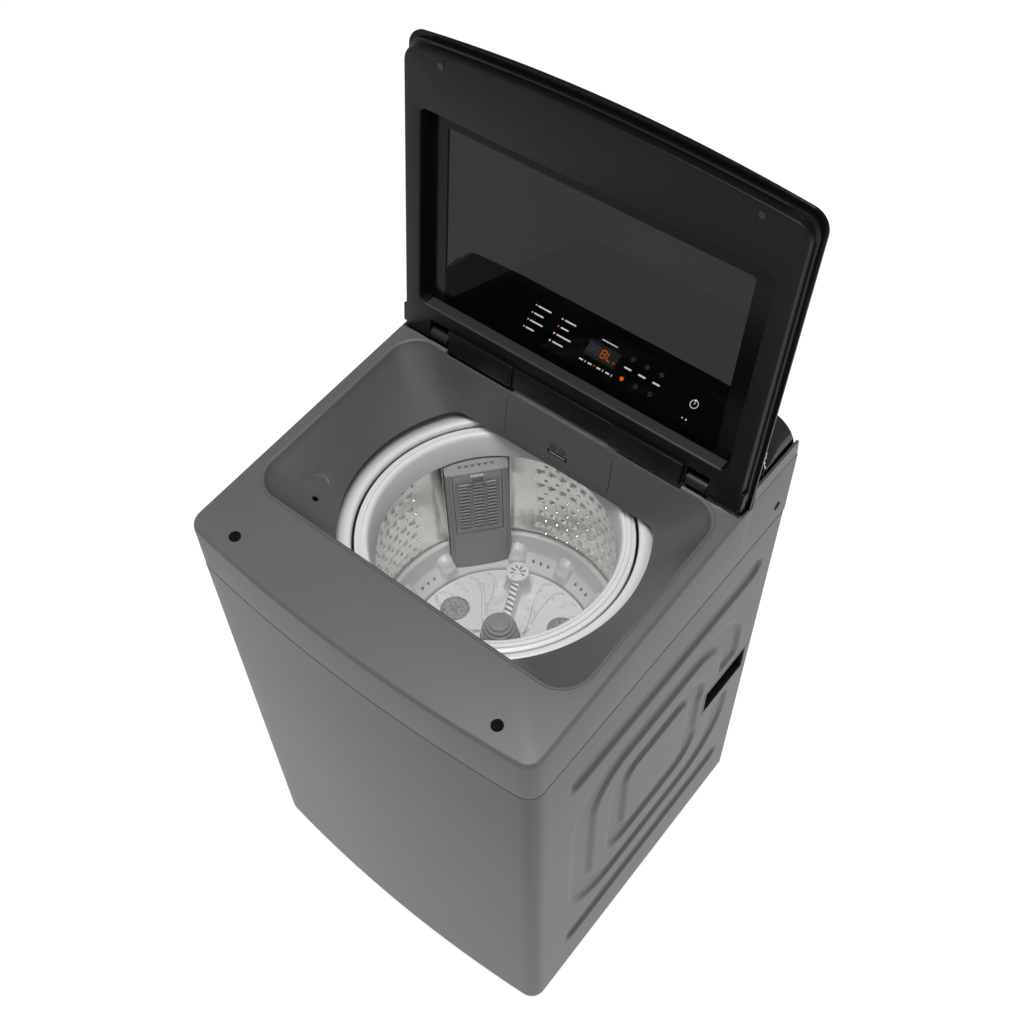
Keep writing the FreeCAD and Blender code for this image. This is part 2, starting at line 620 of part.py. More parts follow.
drawer_slot = box("drawer_slot",
                  (s.drawer_left - s.drawer_gap, s.mouth_back - wall, s.drawer_low - s.drawer_gap),
                  (s.drawer_right + s.drawer_gap, trough_front, s.drawer_high + s.drawer_gap))
buffer_holes = [rod("buffer_hole", s.buffer_stem + s.plate_gap,
                    (sign * s.buffer_x, buffer_y, deck_at(buffer_y) - s.buffer_stem_length * 2),
                    s.buffer_stem_length * 3) for _, sign in SIDES]
valve_hole = rod("valve_hole", s.thread_shoulder + s.plate_gap,
                 (s.valve_x, half_depth - s.cover_wall * 2, s.valve_height), s.valve_length, "y")
plug_holes = [rod("plug_hole", s.plug_stem + s.plate_gap,
                  (-half_width - wall if sign < 0 else half_width - wall * 2, plug_y, s.plug_height),
                  wall * 3, "x") for _, sign in SIDES]
hollow_cover = cut("cover_with_funnel", join("cover_joined", shell_room, funnel_wall), funnel_in)
node(cut("cover", hollow_cover, trough, dip, ridge, drawer_slot, valve_hole, *buffer_holes, *plug_holes),
     "top_cover")

deck_angle = slope_angle(s.deck_slope)
hinge_height = deck_at(hinge_line) + s.hinge_rise
lid_clearance = s.hinge_rise * cosine(deck_angle) - s.inner_drop
buffers = []
for _, sign in SIDES:
    head = rod("buffer_head", s.buffer_radius, (0, 0, 0), lid_clearance - s.cap_proud - s.plate_gap)
    stem = rod("buffer_stem_rod", s.buffer_stem, (0, 0, -s.buffer_stem_length), s.buffer_stem_length)
    pad = join("buffer", head, stem)
    buffers.append(place(pad, (sign * s.buffer_x, buffer_y, deck_at(buffer_y)), (1, 0, 0),
                         deck_angle))
node(cluster("buffers", buffers), "lid_buffers")

plugs = []
for side, sign in SIDES:
    head_x = half_width if sign > 0 else -half_width - s.plug_proud
    stem_x = half_width - wall if sign > 0 else -half_width
    head = rod("plug_head", s.plug_radius, (head_x, plug_y, s.plug_height), s.plug_proud, "x")
    stem = rod("plug_shank", s.plug_stem, (stem_x, plug_y, s.plug_height), wall, "x")
    plugs.append(join(f"plug_{side}", head, stem))
node(cluster("plugs", plugs), "side_plugs")

# ---- detergent drawer and its housing ----------------------------------------------------------------

front_face = prism("drawer_face",
                   [(wall_at(s.drawer_low), s.drawer_low), (wall_at(s.drawer_low) + wall, s.drawer_low),
                    (wall_at(s.drawer_high) + wall, s.drawer_high), (wall_at(s.drawer_high), s.drawer_high)],
                   s.drawer_left, s.drawer_right, "YZ_Plane")
tray_low = s.drawer_low + s.tray_drop
tray_high = s.drawer_high - s.tray_drop
tray = box("tray", (s.drawer_left + s.tray_drop, rim_back - wall, tray_low),
           (s.drawer_right - s.tray_drop, drawer_rear, tray_high))
tray_link = prism("tray_link",
                  [(wall_at(tray_low), tray_low), (rim_back, tray_low),
                   (rim_back, tray_high), (wall_at(tray_high), tray_high)],
                  s.drawer_left + s.tray_drop, s.drawer_right - s.tray_drop, "YZ_Plane")
tray_front = rim_back + s.drawer_wall
bays = [box("bay_left", (s.drawer_left + s.tray_drop + s.drawer_wall, tray_front, tray_low + s.drawer_wall),
            (s.divider_x - s.drawer_wall / 2, drawer_rear - s.drawer_wall, tray_high + wall)),
        box("bay_right", (s.divider_x + s.drawer_wall / 2, tray_front, tray_low + s.drawer_wall),
            (s.drawer_right - s.tray_drop - s.drawer_wall, drawer_rear - s.drawer_wall,
             tray_high + wall))]
node(cut("drawer", join("drawer_solid", front_face, tray_link, tray), *bays), "detergent_drawer")
house_low = tray_low - s.plate_gap - s.housing_wall
house_high = trough_roof - s.plate_gap
house_front = trough_front
house_left = s.drawer_left + s.tray_drop - s.drawer_gap - s.housing_wall
house_right = s.drawer_right - s.tray_drop + s.drawer_gap + s.housing_wall
house = box("house", (house_left, house_front, house_low), (house_right, housing_rear, house_high))
house_room = box("house_room",
                 (house_left + s.housing_wall, house_front - wall, tray_low - s.plate_gap),
                 (house_right - s.housing_wall, housing_rear - s.housing_wall,
                  house_high - s.housing_wall))
inlet_hole = rod("inlet_hole", s.fill_radius + s.plate_gap,
                 (house_right - s.housing_wall * 2, half_depth - s.valve_length / 2 - wall, s.valve_height),
                 s.valve_length, "x")
node(cut("housing", house, house_room, inlet_hole), "drawer_housing")

# ---- lid, drawn shut about the hinge axis and then opened --------------------------------------------

lid_turn = s.lid_opening - deck_angle


def on_lid(thing):
    """Opens a piece of the lid about the hinge axis."""
    return place(thing, (0, hinge_line, hinge_height), (-1, 0, 0), lid_turn)


inner_outline = bowed(inner_half_width, s.lid_rear, s.inner_bow - inner_front, s.inner_bow,
                      s.inner_corner)
inner = prism("inner_plate", inner_outline, -s.inner_drop, s.frame_low)
window = rounded(-window_half_width, window_half_width, -window_far, -s.window_near,
                 s.window_corner)
carve(inner, "inner_window", [window], -s.inner_drop, s.frame_low)
rib = s.lid_rib
cavity = bowed(inner_half_width - rib, -s.cavity_near, s.inner_bow - inner_front + rib, s.inner_bow,
               s.inner_corner - rib)
window_wall = rounded(-window_half_width - rib, window_half_width + rib, -window_far - rib,
                      -s.window_near + rib, s.window_corner + rib)
carve(inner, "inner_cavity", [cavity, window_wall], -s.inner_drop + s.lid_skin, s.frame_low)
additions = []
removals = []
for side, sign in SIDES:
    near_x, far_x = sorted((sign * s.block_inner, sign * s.block_outer), key=float)
    additions.append(box(f"hinge_block_{side}", (near_x, -s.block_far, -s.inner_drop - s.block_drop),
                         (far_x, s.block_near, -s.inner_drop + s.lid_skin)))
    near_x, far_x = sorted((sign * (inner_half_width - rib), sign * ear_out), key=float)
    additions.append(box(f"ear_{side}", (near_x, -s.ear_far, -s.inner_drop),
                         (far_x, s.ear_near, s.frame_low)))
    near_x, far_x = sorted((sign * s.notch_inner, sign * s.notch_outer), key=float)
    removals.append(box(f"notch_{side}", (near_x, -s.notch_far, -s.inner_drop * 3),
                        (far_x, s.lid_rear + rib, s.frame_low + rib)))
    hole_x = near_x - s.pin_reach - s.running_gap
    removals.append(rod(f"pin_hole_{side}", s.pin_radius + s.running_gap, (hole_x, 0, 0),
                        far_x - near_x + s.pin_reach * 2 + s.running_gap * 2, "x"))
    removals.append(rod(f"cap_hole_{side}", s.cap_stem + s.plate_gap,
                        (sign * s.cap_x, -cap_far, -s.inner_drop - rib), s.lid_skin + rib * 2))
inner_cover = cut("inner_cover", join("inner_joined", inner, *additions), *removals)
node(on_lid(inner_cover), "lid_inner_cover")

frame_outline = bowed(frame_half_width, s.lid_rear, s.inner_bow - frame_front, s.inner_bow,
                      s.inner_corner)
outer_frame = prism("outer_frame", frame_outline, s.frame_low, s.glass_low)
carve(outer_frame, "outer_window", [window], s.frame_low, s.glass_low)
frame_notches = []
for side, sign in SIDES:
    near_x, far_x = sorted((sign * s.notch_inner, sign * s.notch_outer), key=float)
    frame_notches.append(box(f"frame_notch_{side}", (near_x, -s.notch_far, s.frame_low - rib),
                             (far_x, s.lid_rear + rib, s.glass_low + rib)))
node(on_lid(cut("frame_notched", outer_frame, *frame_notches)), "lid_outer_frame")

glass = prism("glass", bowed(lid_half_width, s.lid_rear, s.lid_bow - lid_front, s.lid_bow,
                             s.lid_corner), s.glass_low, s.glass_low + s.glass_thick)
node(on_lid(glass), "lid_glass")

caps = []
for side, sign in SIDES:
    face = rod("cap_face", s.cap_radius, (sign * s.cap_x, -cap_far, -s.inner_drop - s.cap_proud),
               s.cap_proud)
    stem = rod("cap_shank", s.cap_stem, (sign * s.cap_x, -cap_far, -s.inner_drop), s.lid_skin)
    caps.append(join(f"cap_{side}", face, stem))
node(on_lid(cluster("caps", caps)), "lid_screw_caps")

knuckles = []
pins = []
for side, sign in SIDES:
    near_x, far_x = sorted((sign * (s.notch_inner + s.knuckle_side_gap),
                            sign * (s.notch_outer - s.knuckle_side_gap)), key=float)
    barrel = rod(f"barrel_{side}", s.knuckle_radius, (near_x, hinge_line, hinge_height), far_x - near_x,
                 "x")
    web = box(f"web_{side}", (near_x, hinge_line - s.knuckle_half_web, s.trough_floor),
              (far_x, hinge_line + s.knuckle_half_web, hinge_height))
    bore = rod(f"knuckle_bore_{side}", s.pin_radius + s.running_gap, (near_x, hinge_line, hinge_height),
               far_x - near_x, "x")
    knuckles.append(cut(f"knuckle_{side}", join(f"knuckle_solid_{side}", barrel, web), bore))
    reach = s.pin_reach + s.knuckle_side_gap
    pins.append(rod(f"pin_{side}", s.pin_radius, (near_x - reach, hinge_line, hinge_height),
                    far_x - near_x + reach * 2, "x"))
node(cluster("knuckles", knuckles), "hinge_brackets")
node(cluster("pins", pins), "hinge_pins")

# ---- console -----------------------------------------------------------------------------------------

console_foot = s.rear_deck_height + s.plate_gap


def console_side(inset):
    """Side profile of the console: sloped face, rounded crown, leaning back."""
    return [(console_front + s.cheek_wall + inset, console_foot),
            (console_front + s.cheek_wall + inset, s.console_lip - inset),
            (crown_shoulder, s.shoulder_height - inset), (crown_front, s.crown_height - inset),
            (crown_rear - inset, s.crown_height - inset),
            (console_rear_low - s.cheek_wall - inset, console_foot)]


def console_front_view(inset):
    """Front profile of the console: a bowed top and big rounded upper corners."""
    top = s.crown_height + s.crown_rise - s.crown_bow - inset
    corners = bowed(console_half_width - inset, -console_foot, -top, s.crown_bow,
                    s.console_end_radius - inset)
    return [(-corner[0], -corner[1]) + corner[2:] for corner in corners]


def console_block(name, inset):
    side = prism(name + "_side", console_side(inset), -half_width, half_width, "YZ_Plane")
    front = prism(name + "_front", console_front_view(inset), console_front, half_depth, "XZ_Plane")
    return overlap(name, side, front)


face_rise = s.shoulder_height - s.console_lip
face_run = crown_shoulder - console_front - s.cheek_wall
face_angle = slope_angle(face_rise / face_run)


def on_face(name, left, right, near, far, low, high):
    """A plate on the console's sloped face: distances up the slope and off it."""
    plate = box(name, (left, near, low), (right, far, high))
    holder = cluster(name + "_holder", [plate])
    return place(holder, (0, console_front + s.cheek_wall, s.console_lip), (1, 0, 0), face_angle)


panel_seat = on_face("panel_seat", -panel_half_width - s.plate_gap, panel_half_width + s.plate_gap,
                     s.panel_near - s.plate_gap, s.panel_near + s.panel_length + s.plate_gap,
                     -s.panel_thick + s.plate_gap, s.console_wall * 2)
panel_window = on_face("panel_window", s.display_left, s.display_right, s.display_near,
                       s.display_near + s.display_length, -s.display_height, s.console_wall)
console_shell = cut("console_shell", console_block("console_out", 0),
                    console_block("console_in", s.console_wall))
node(cut("console", console_shell, panel_seat, panel_window), "console_housing")
panel = on_face("panel", -panel_half_width, panel_half_width, s.panel_near,
                s.panel_near + s.panel_length, -s.panel_thick + s.plate_gap, s.plate_gap)
node(panel, "console_touch_panel")
node(on_face("display", s.display_left + s.plate_gap, s.display_right - s.plate_gap,
             s.display_near + s.plate_gap, s.display_near + s.display_length - s.plate_gap,
             -s.display_height, -s.panel_thick), "display_module")
node(on_face("board", -s.board_half_width, s.board_half_width, s.panel_near + s.console_wall * 2,
             s.panel_near + s.console_wall * 2 + s.board_length, -s.display_height - s.board_thick,
             -s.display_height), "control_board")

cheek_in = console_half_width + s.plate_gap
cheek_profile = [(console_front, s.rear_deck_height), (console_rear_low, s.rear_deck_height),
                 (cheek_rear, s.base_cheek_height), (console_front, s.base_cheek_height)]
tray_block = prism("console_tray", cheek_profile, -half_width, half_width, "YZ_Plane")
tray_room = box("console_tray_room",
                (-cheek_in, console_front + s.cheek_wall - s.plate_gap, s.rear_deck_height - wall),
                (cheek_in, console_rear_low - s.cheek_wall, s.crown_height))
front_low = box("console_tray_front", (-cheek_in, console_front - wall, s.console_lip - wall),
                (cheek_in, console_rear_low - wall * 2, s.crown_height))
rear_low = box("console_tray_rear", (-cheek_in, console_rear_low - wall * 3, s.console_lip),
               (cheek_in, half_depth, s.crown_height))
node(cut("console_base", tray_block, tray_room, front_low, rear_low), "console_base")

# ---- tub, its cover ring and the suspension ----------------------------------------------------------

tub_inner = s.tub_radius - s.tub_wall
tub_bowl = turned("tub_bowl",
                  [(s.tub_bore, s.tub_low), (s.tub_radius, s.tub_low),
                   (s.tub_radius, s.tub_high - s.tub_flange_thick),
                   (s.tub_flange, s.tub_high - s.tub_flange_thick), (s.tub_flange, s.tub_high),
                   (tub_inner, s.tub_high), (tub_inner, s.tub_floor), (s.tub_bore, s.tub_floor)])
rod_reach = root(s.rod_x * s.rod_x + s.rod_y * s.rod_y)
lugs = []
rod_holes = []
for x, y in QUARTERS:
    turn_x = x * s.rod_x / rod_reach
    turn_y = y * s.rod_y / rod_reach
    angle = math.degrees(math.atan2(y * float(s.rod_y), x * float(s.rod_x)))
    lug = box("lug", (s.lug_start, -s.lug_half_width, 0),
              (rod_reach + s.lug_end_past, s.lug_half_width, s.lug_height))
    holder = cluster("lug_holder", [lug])
    lug_angle = Size(angle, f"(atan2({words(y * s.rod_y)}; {words(x * s.rod_x)}) / 1 deg)")
    lugs.append(place(holder, (0, 0, s.lug_low), (0, 0, 1), lug_angle))
    rod_holes.append(rod("rod_hole", s.rod_hole, (x * s.rod_x, y * s.rod_y, s.lug_low - wall),
                         s.lug_height + wall * 2))
drain_hole = rod("drain_hole", s.drain_body_radius / 2, (s.drain_x, s.drain_y, s.tub_low - wall), wall * 4)
node(cut("tub", join("tub_with_lugs", tub_bowl, *lugs), *rod_holes, drain_hole), "outer_tub")

ring_step = s.tub_ring_thick
node(turned("tub_ring",
            [(s.tub_ring_inner, s.tub_high), (s.tub_ring_outer, s.tub_high),
             (s.tub_ring_outer, s.tub_ring_high - ring_step * 2), (s.tub_flange, s.tub_ring_high),
             (tub_inner - ring_step, s.tub_ring_high), (s.tub_ring_inner, s.tub_ring_high - ring_step)]),
     "tub_cover_ring")

rods = []
rod_caps = []
rod_cups = []
brackets = []
springs = []
spring_high = s.lug_low
for x, y in QUARTERS:
    at = (x * s.rod_x, y * s.rod_y)
    rods.append(rod("hanger", s.rod_radius, (at[0], at[1], s.rod_low),
                    s.bracket_height + s.bracket_plate + s.rod_cap_height / 2 - s.rod_low))
    cap = rod("hanger_cap", s.rod_cap_radius, (at[0], at[1], s.bracket_height + s.bracket_plate),
              s.rod_cap_height)
    cap_bore = rod("hanger_cap_bore", s.rod_radius + s.running_gap,
                   (at[0], at[1], s.bracket_height + s.bracket_plate), s.rod_cap_height / 2)
    rod_caps.append(cut("hanger_cap_bored", cap, cap_bore))
    rod_cups.append(tube("spring_cup", s.cup_radius, s.rod_radius + s.running_gap,
                     (at[0], at[1], s.spring_low - s.cup_thick), s.cup_thick))
    near_x, far_x = sorted((x * s.bracket_inner_x, x * (steel_in)), key=float)
    shelf = box("shelf", (near_x, at[1] - s.bracket_half_y, s.bracket_height),
                (far_x, at[1] + s.bracket_half_y, s.bracket_height + s.bracket_plate))
    near_x, far_x = sorted((x * (steel_in - s.bracket_plate), x * steel_in), key=float)
    leg = box("shelf_leg", (near_x, at[1] - s.bracket_half_y, s.bracket_height - s.bracket_drop),
              (far_x, at[1] + s.bracket_half_y, s.bracket_height + s.bracket_plate))
    hole = rod("shelf_hole", s.rod_hole, (at[0], at[1], s.bracket_height - wall), wall * 3)
    tube_hole = rod("shelf_tube_hole", s.level_tube_radius + s.plate_gap * 2,
                    (s.sensor_x, s.sensor_y, s.bracket_height - wall), wall * 3)
    brackets.append(cut("corner_bracket", join("corner_bracket_solid", shelf, leg), hole, tube_hole))
node(cluster("hangers", rods), "suspension_rods")
node(cluster("hanger_caps", rod_caps), "rod_top_caps")
node(cluster("spring_cups", rod_cups), "spring_cups")
node(cluster("corner_brackets", brackets), "corner_brackets")


def coil(x, y):
    """One suspension spring as a coiled round wire."""
    wire = float(s.spring_wire)
    low = float(s.spring_low) + wire
    high = float(spring_high) - wire
    path = Part.makeHelix((high - low) / float(s.spring_turns), high - low, float(s.spring_radius))
    path.translate(V(0, 0, low))
    section = Part.Wire([Part.makeCircle(wire, V(float(s.spring_radius), 0, low), V(0, 1, 0))])
    turns = Part.Wire(path.Edges).makePipeShell([section], True, True)
    turns.translate(V(float(x * s.rod_x), float(y * s.rod_y), 0))
    return turns


spring_set = DOC.addObject("Part::Feature", "springs")
spring_set.Shape = Part.makeCompound([coil(x, y) for x, y in QUARTERS])
node(spring_set, "suspension_springs")

# ---- drum group --------------------------------------------------------------------------------------

drum_inner = s.drum_radius - s.drum_steel
node(turned("drum_wall", [(drum_inner, s.drum_low), (s.drum_radius, s.drum_low),
                          (s.drum_radius, s.drum_high), (drum_inner, s.drum_high)]), "drum_wall")
lip = s.bowl_wall
ring_gap = s.plate_gap
node(turned("balance_ring",
            [(s.ring_inner, s.ring_low + lip), (s.ring_inner + lip, s.ring_low),
             (drum_inner - ring_gap, s.ring_low), (drum_inner - ring_gap, s.drum_high + ring_gap),
             (s.ring_outer, s.drum_high + ring_gap), (s.ring_outer, s.ring_high - lip),
             (s.ring_outer - lip, s.ring_high), (s.ring_inner + lip * 3, s.ring_high),
             (s.ring_inner, s.ring_high - lip * 3)]), "balance_ring")
bowl_out = drum_inner - ring_gap
node(turned("drum_base",
            [(s.spin_tube_radius + ring_gap, s.drum_under), (s.hub_radius, s.drum_under),
             (s.band_foot_radius - lip, s.drum_floor - lip * 2), (bowl_out, s.drum_low - lip),
             (bowl_out, s.band_high), (bowl_out - lip * 2, s.band_high),
             (s.band_foot_radius, s.band_foot_height), (s.band_foot_radius, s.drum_floor),
             (s.spin_tube_radius + ring_gap, s.drum_floor)]), "drum_base")
tube_bore = s.shaft_radius + s.running_gap
node(turned("hub",
            [(tube_bore, s.spin_tube_low), (s.spin_tube_radius, s.spin_tube_low),
             (s.spin_tube_radius, s.hub_low), (s.hub_radius, s.hub_low + lip),
             (s.hub_radius, s.drum_under), (s.spin_tube_radius, s.drum_under),
             (s.spin_tube_radius, s.drum_floor), (tube_bore, s.drum_floor)]), "drum_hub_and_spin_tube")

filter_outer = box("filter_block", (s.filter_face, -s.filter_half_width, s.filter_low),
                   (s.filter_back, s.filter_half_width, s.filter_high))
filter_trim = turned("filter_trim",
                     [(s.band_foot_radius - ring_gap, s.band_foot_height),
                      (bowl_out - lip * 2 - ring_gap, s.band_high + ring_gap),
                      (drum_inner - ring_gap, s.band_high + ring_gap),
                      (drum_inner - ring_gap, s.ring_low - ring_gap),
                      (s.band_foot_radius - lip * 4, s.ring_low - ring_gap),
                      (s.band_foot_radius - lip * 4, s.band_foot_height)])
filter_opening = box("filter_opening",
                     (s.filter_face - wall, -s.door_half_width - s.door_gap, s.door_low - s.door_gap),
                     (s.filter_back - s.filter_wall * 3, s.door_half_width + s.door_gap,
                      s.door_high + s.door_gap))
filter_box = cut("filter_box", filter_outer, filter_opening)
filter_box_turned = place(cluster("filter_box_holder", [filter_box]), (0, 0, 0), (0, 0, 1), s.filter_turn)
node(overlap("filter_body", filter_box_turned, filter_trim), "lint_filter_housing")

door_pivot = s.door_thick / 2
door = box("door", (s.filter_face, -s.door_half_width, s.door_low + door_pivot),
           (s.filter_face + s.door_thick, s.door_half_width, s.door_high))
door_edge = rod("door_edge", door_pivot,
                (s.filter_face + door_pivot, -s.door_half_width, s.door_low + door_pivot),
                s.door_half_width * 2, "y")
slots = []
for column in range(int(SIZES["slot_columns"])):
    middle = s.slot_column_pitch * (column - (SIZES["slot_columns"] - 1) / 2)
    for row in range(int(SIZES["slot_count"])):
        base = s.slot_first + s.slot_pitch * row
        slots.append(box("slot", (s.filter_face - wall, middle - s.slot_width / 2, base),
                         (s.filter_face + s.door_thick + wall, middle + s.slot_width / 2,
                          base + s.slot_height)))
latch = box("latch",
            (s.filter_face - s.latch_proud, -s.latch_width / 2, s.door_high - s.latch_height - wall),
            (s.filter_face, s.latch_width / 2, s.door_high - wall))
door_cut = cut("door_slotted", join("door_solid", door, door_edge, latch), *slots)
node(place(cluster("door_holder", [door_cut]), (0, 0, 0), (0, 0, 1), s.filter_turn), "lint_filter_door")

# ---- pulsator and its shaft --------------------------------------------------------------------------

disc = turned("disc",
              [(s.shaft_radius + s.running_gap, s.drum_floor + ring_gap * 2),
               (s.boss_radius, s.drum_floor + ring_gap * 2),
               (s.boss_radius, s.disc_centre_height - s.disc_thick),
               (s.disc_radius - s.disc_thick, s.disc_edge_height - s.disc_thick),
               (s.disc_radius - s.disc_thick, s.disc_edge_height - s.disc_skirt),
               (s.disc_radius, s.disc_edge_height - s.disc_skirt), (s.disc_radius, s.disc_edge_height),
               (s.boss_radius, s.disc_centre_height), (s.boss_radius, s.cap_base_height - lip),
               (s.shaft_radius + s.running_gap, s.cap_base_height - lip)])
ribs = []
mesh_holes = []
meshes = []
for index in range(int(SIZES["rib_count"])):
    rib_turn = s.rib_turn + index * 360.0 / SIZES["rib_count"]
    rib_side = prism("rib_side",
                     [(s.boss_radius - lip / 2, s.rib_foot), (s.rib_end, s.rib_foot - lip),
                      (s.rib_end, s.rib_height),
                      (s.rib_start + s.rib_half_width, s.rib_foot + s.rib_half_width),
                      (s.boss_radius - lip / 2, s.rib_foot + s.rib_half_width)],
                     -s.rib_half_width / 2, s.rib_half_width / 2, "XZ_Plane")
    rib_head = rod("rib_head", s.rib_end_radius, (s.rib_end, 0, s.rib_foot - lip),
                   s.rib_height - s.rib_foot + lip)
    ribs.append(place(cluster("rib_holder", [join("rib", rib_side, rib_head)]), (0, 0, 0), (0, 0, 1),
                      rib_turn))
    mesh_turn = s.mesh_turn + index * 360.0 / SIZES["rib_count"]
    mesh_x = s.mesh_reach * cosine(mesh_turn)
    mesh_y = s.mesh_reach * sine(mesh_turn)
    mesh_holes.append(rod("mesh_hole", s.mesh_radius + s.plate_gap, (mesh_x, mesh_y, s.drum_floor + lip),
                          s.rib_height - s.drum_floor))
    mesh_top = s.disc_edge_height + (s.disc_centre_height - s.disc_edge_height) \
        * (s.disc_radius - s.mesh_reach) / (s.disc_radius - s.boss_radius)
    meshes.append(rod("mesh", s.mesh_radius, (mesh_x, mesh_y, mesh_top - s.mesh_thick), s.mesh_thick))
node(cut("pulsator", join("pulsator_solid", disc, *ribs), *mesh_holes), "pulsator")
node(cluster("meshes", meshes), "pulsator_mesh_insets")
dome = s.cap_base_radius
node(turned("cap_dome",
            [(s.boss_radius + ring_gap, s.cap_base_height - lip * 3),
             (dome, s.cap_base_height - lip * 3),
             (dome, s.cap_base_height), (dome * 3 / 4, s.cap_base_height + lip * 3),
             (dome / 2, s.cap_top_height - lip), (dome / 4, s.cap_top_height), (0, s.cap_top_height),
             (0, s.cap_base_height + lip), (s.boss_radius + ring_gap, s.cap_base_height + lip)]),
     "pulsator_cap")
pulsator_shaft = rod("pulsator_shaft", s.shaft_radius, (0, 0, s.shaft_low),
                     s.cap_base_height - lip - s.shaft_low)
node(pulsator_shaft, "pulsator_shaft")
screw_base = s.cap_base_height - lip
node(rod("pulsator_nut", s.nut_radius, (0, 0, screw_base), s.nut_height * 2 / 3), "pulsator_screw")

# ---- drive: plate, gear case, bearings, pulleys, motor and belt --------------------------------------

plate_high = s.plate_low + s.plate_thick
plate = box("plate", (s.plate_left, -s.plate_half_y, s.plate_low),
            (s.plate_right, s.plate_half_y, plate_high))
posts = [rod("plate_post", s.plate_post_radius, (x * s.plate_post_x, y * s.plate_post_y, plate_high),
             s.tub_low - plate_high) for x, y in QUARTERS]
plate_bore = rod("plate_bore", s.bearing_radius + s.plate_gap, (0, 0, s.plate_low - wall), wall * 4)
node(cut("drive_plate", join("plate_solid", plate, *posts), plate_bore), "drive_plate")

case_roof = s.plate_low
node(turned("gear_case",
            [(s.spin_tube_radius + ring_gap, s.gear_low), (s.gear_radius, s.gear_low),
             (s.gear_radius, case_roof), (s.bearing_radius + s.plate_gap, case_roof),
             (s.bearing_radius + s.plate_gap, case_roof - s.gear_wall),
             (s.gear_radius - s.gear_wall, case_roof - s.gear_wall),
             (s.gear_radius - s.gear_wall, s.gear_low + s.gear_wall),
             (s.bearing_radius + s.plate_gap, s.gear_low + s.gear_wall),
             (s.bearing_radius + s.plate_gap, s.gear_low + s.gear_wall / 2),
             (s.spin_tube_radius + ring_gap, s.gear_low + s.gear_wall / 2)]), "gearbox_case")
upper_bearing = tube("upper_bearing", s.bearing_radius, s.spin_tube_radius + s.running_gap,
                     (0, 0, case_roof - s.gear_wall), s.bearing_length)
lower_bearing = tube("lower_bearing", s.bearing_radius, s.spin_tube_radius + s.running_gap,
                     (0, 0, s.gear_low + s.gear_wall / 2 + s.running_gap), s.bearing_length)
node(cluster("bearings", [upper_bearing, lower_bearing]), "spin_bearings")
seal_low = case_roof - s.gear_wall + s.bearing_length + s.running_gap
node(tube("seal", s.seal_radius, s.spin_tube_radius + s.running_gap, (0, 0, seal_low),
          s.tub_floor - seal_low), "tub_shaft_seal")

pulley_high = s.pulley_low + s.pulley_length
pulley_mid = s.pulley_low + s.pulley_length / 2


def pulley(name, radius, bore, at_x):
    """A belt pulley with one groove, bored for its shaft."""
    wheel = turned(name, [(bore, s.pulley_low), (radius, s.pulley_low), (radius, pulley_mid - s.groove_half),
                          (radius - s.groove_depth, pulley_mid - s.groove_half),
                          (radius - s.groove_depth, pulley_mid + s.groove_half),
                          (radius, pulley_mid + s.groove_half), (radius, pulley_high),
                          (bore, pulley_high)])
    return place(wheel, (at_x, 0, 0))


node(pulley("big_pulley", s.pulley_radius, s.shaft_radius + s.running_gap, 0), "gearbox_pulley")
node(rod("input_shaft", s.shaft_radius, (0, 0, s.pulley_low - lip), s.shaft_low - s.running_gap
         - s.pulley_low + lip), "gearbox_input_shaft")
node(pulley("small_pulley", s.motor_pulley_radius, s.motor_shaft + s.running_gap, s.motor_x),
     "motor_pulley")
motor_body = rod("motor_body", s.motor_radius, (s.motor_x, 0, s.motor_low), s.motor_high - s.motor_low)
motor_posts = [rod("motor_post", s.motor_post_radius,
                   (s.motor_x + x * s.motor_post_reach / 2, y * s.motor_post_reach / 2, s.motor_high),
                   s.plate_low - s.motor_high) for x, y in QUARTERS]
motor_bore = rod("motor_bore", s.motor_shaft + s.running_gap, (s.motor_x, 0, s.motor_low),
                 s.motor_radius)
node(cut("motor_case", join("motor_solid", motor_body, *motor_posts), motor_bore), "motor")
node(rod("motor_axle", s.motor_shaft, (s.motor_x, 0, s.pulley_low - lip),
         s.motor_low + s.motor_radius - s.running_gap * 2 - s.pulley_low + lip), "motor_shaft")


def belt_loop(big, small, span):
    """Plan outline of a belt round two wheels, from the big wheel's back tangent."""
    lean = (big - small) / span
    rise = root(1 - lean * lean)
    return [(s.motor_x - small * lean, small * rise, small),
            (s.motor_x - small * lean, -small * rise), (-big * lean, -big * rise, big),
            (big, 0, big), (-big * lean, big * rise)]


belt_in = s.belt_gap - s.groove_depth
belt_out = belt_in + s.belt_thick
span = -s.motor_x
belt_low = pulley_mid - s.belt_height / 2
belt = prism("belt_loop", belt_loop(s.pulley_radius + belt_out, s.motor_pulley_radius + belt_out, span),
             belt_low, belt_low + s.belt_height)
carve(belt, "belt_inside", [belt_loop(s.pulley_radius + belt_in, s.motor_pulley_radius + belt_in, span)],
      belt_low, belt_low + s.belt_height)
node(belt, "drive_belt")

# ---- water and electrics -----------------------------------------------------------------------------

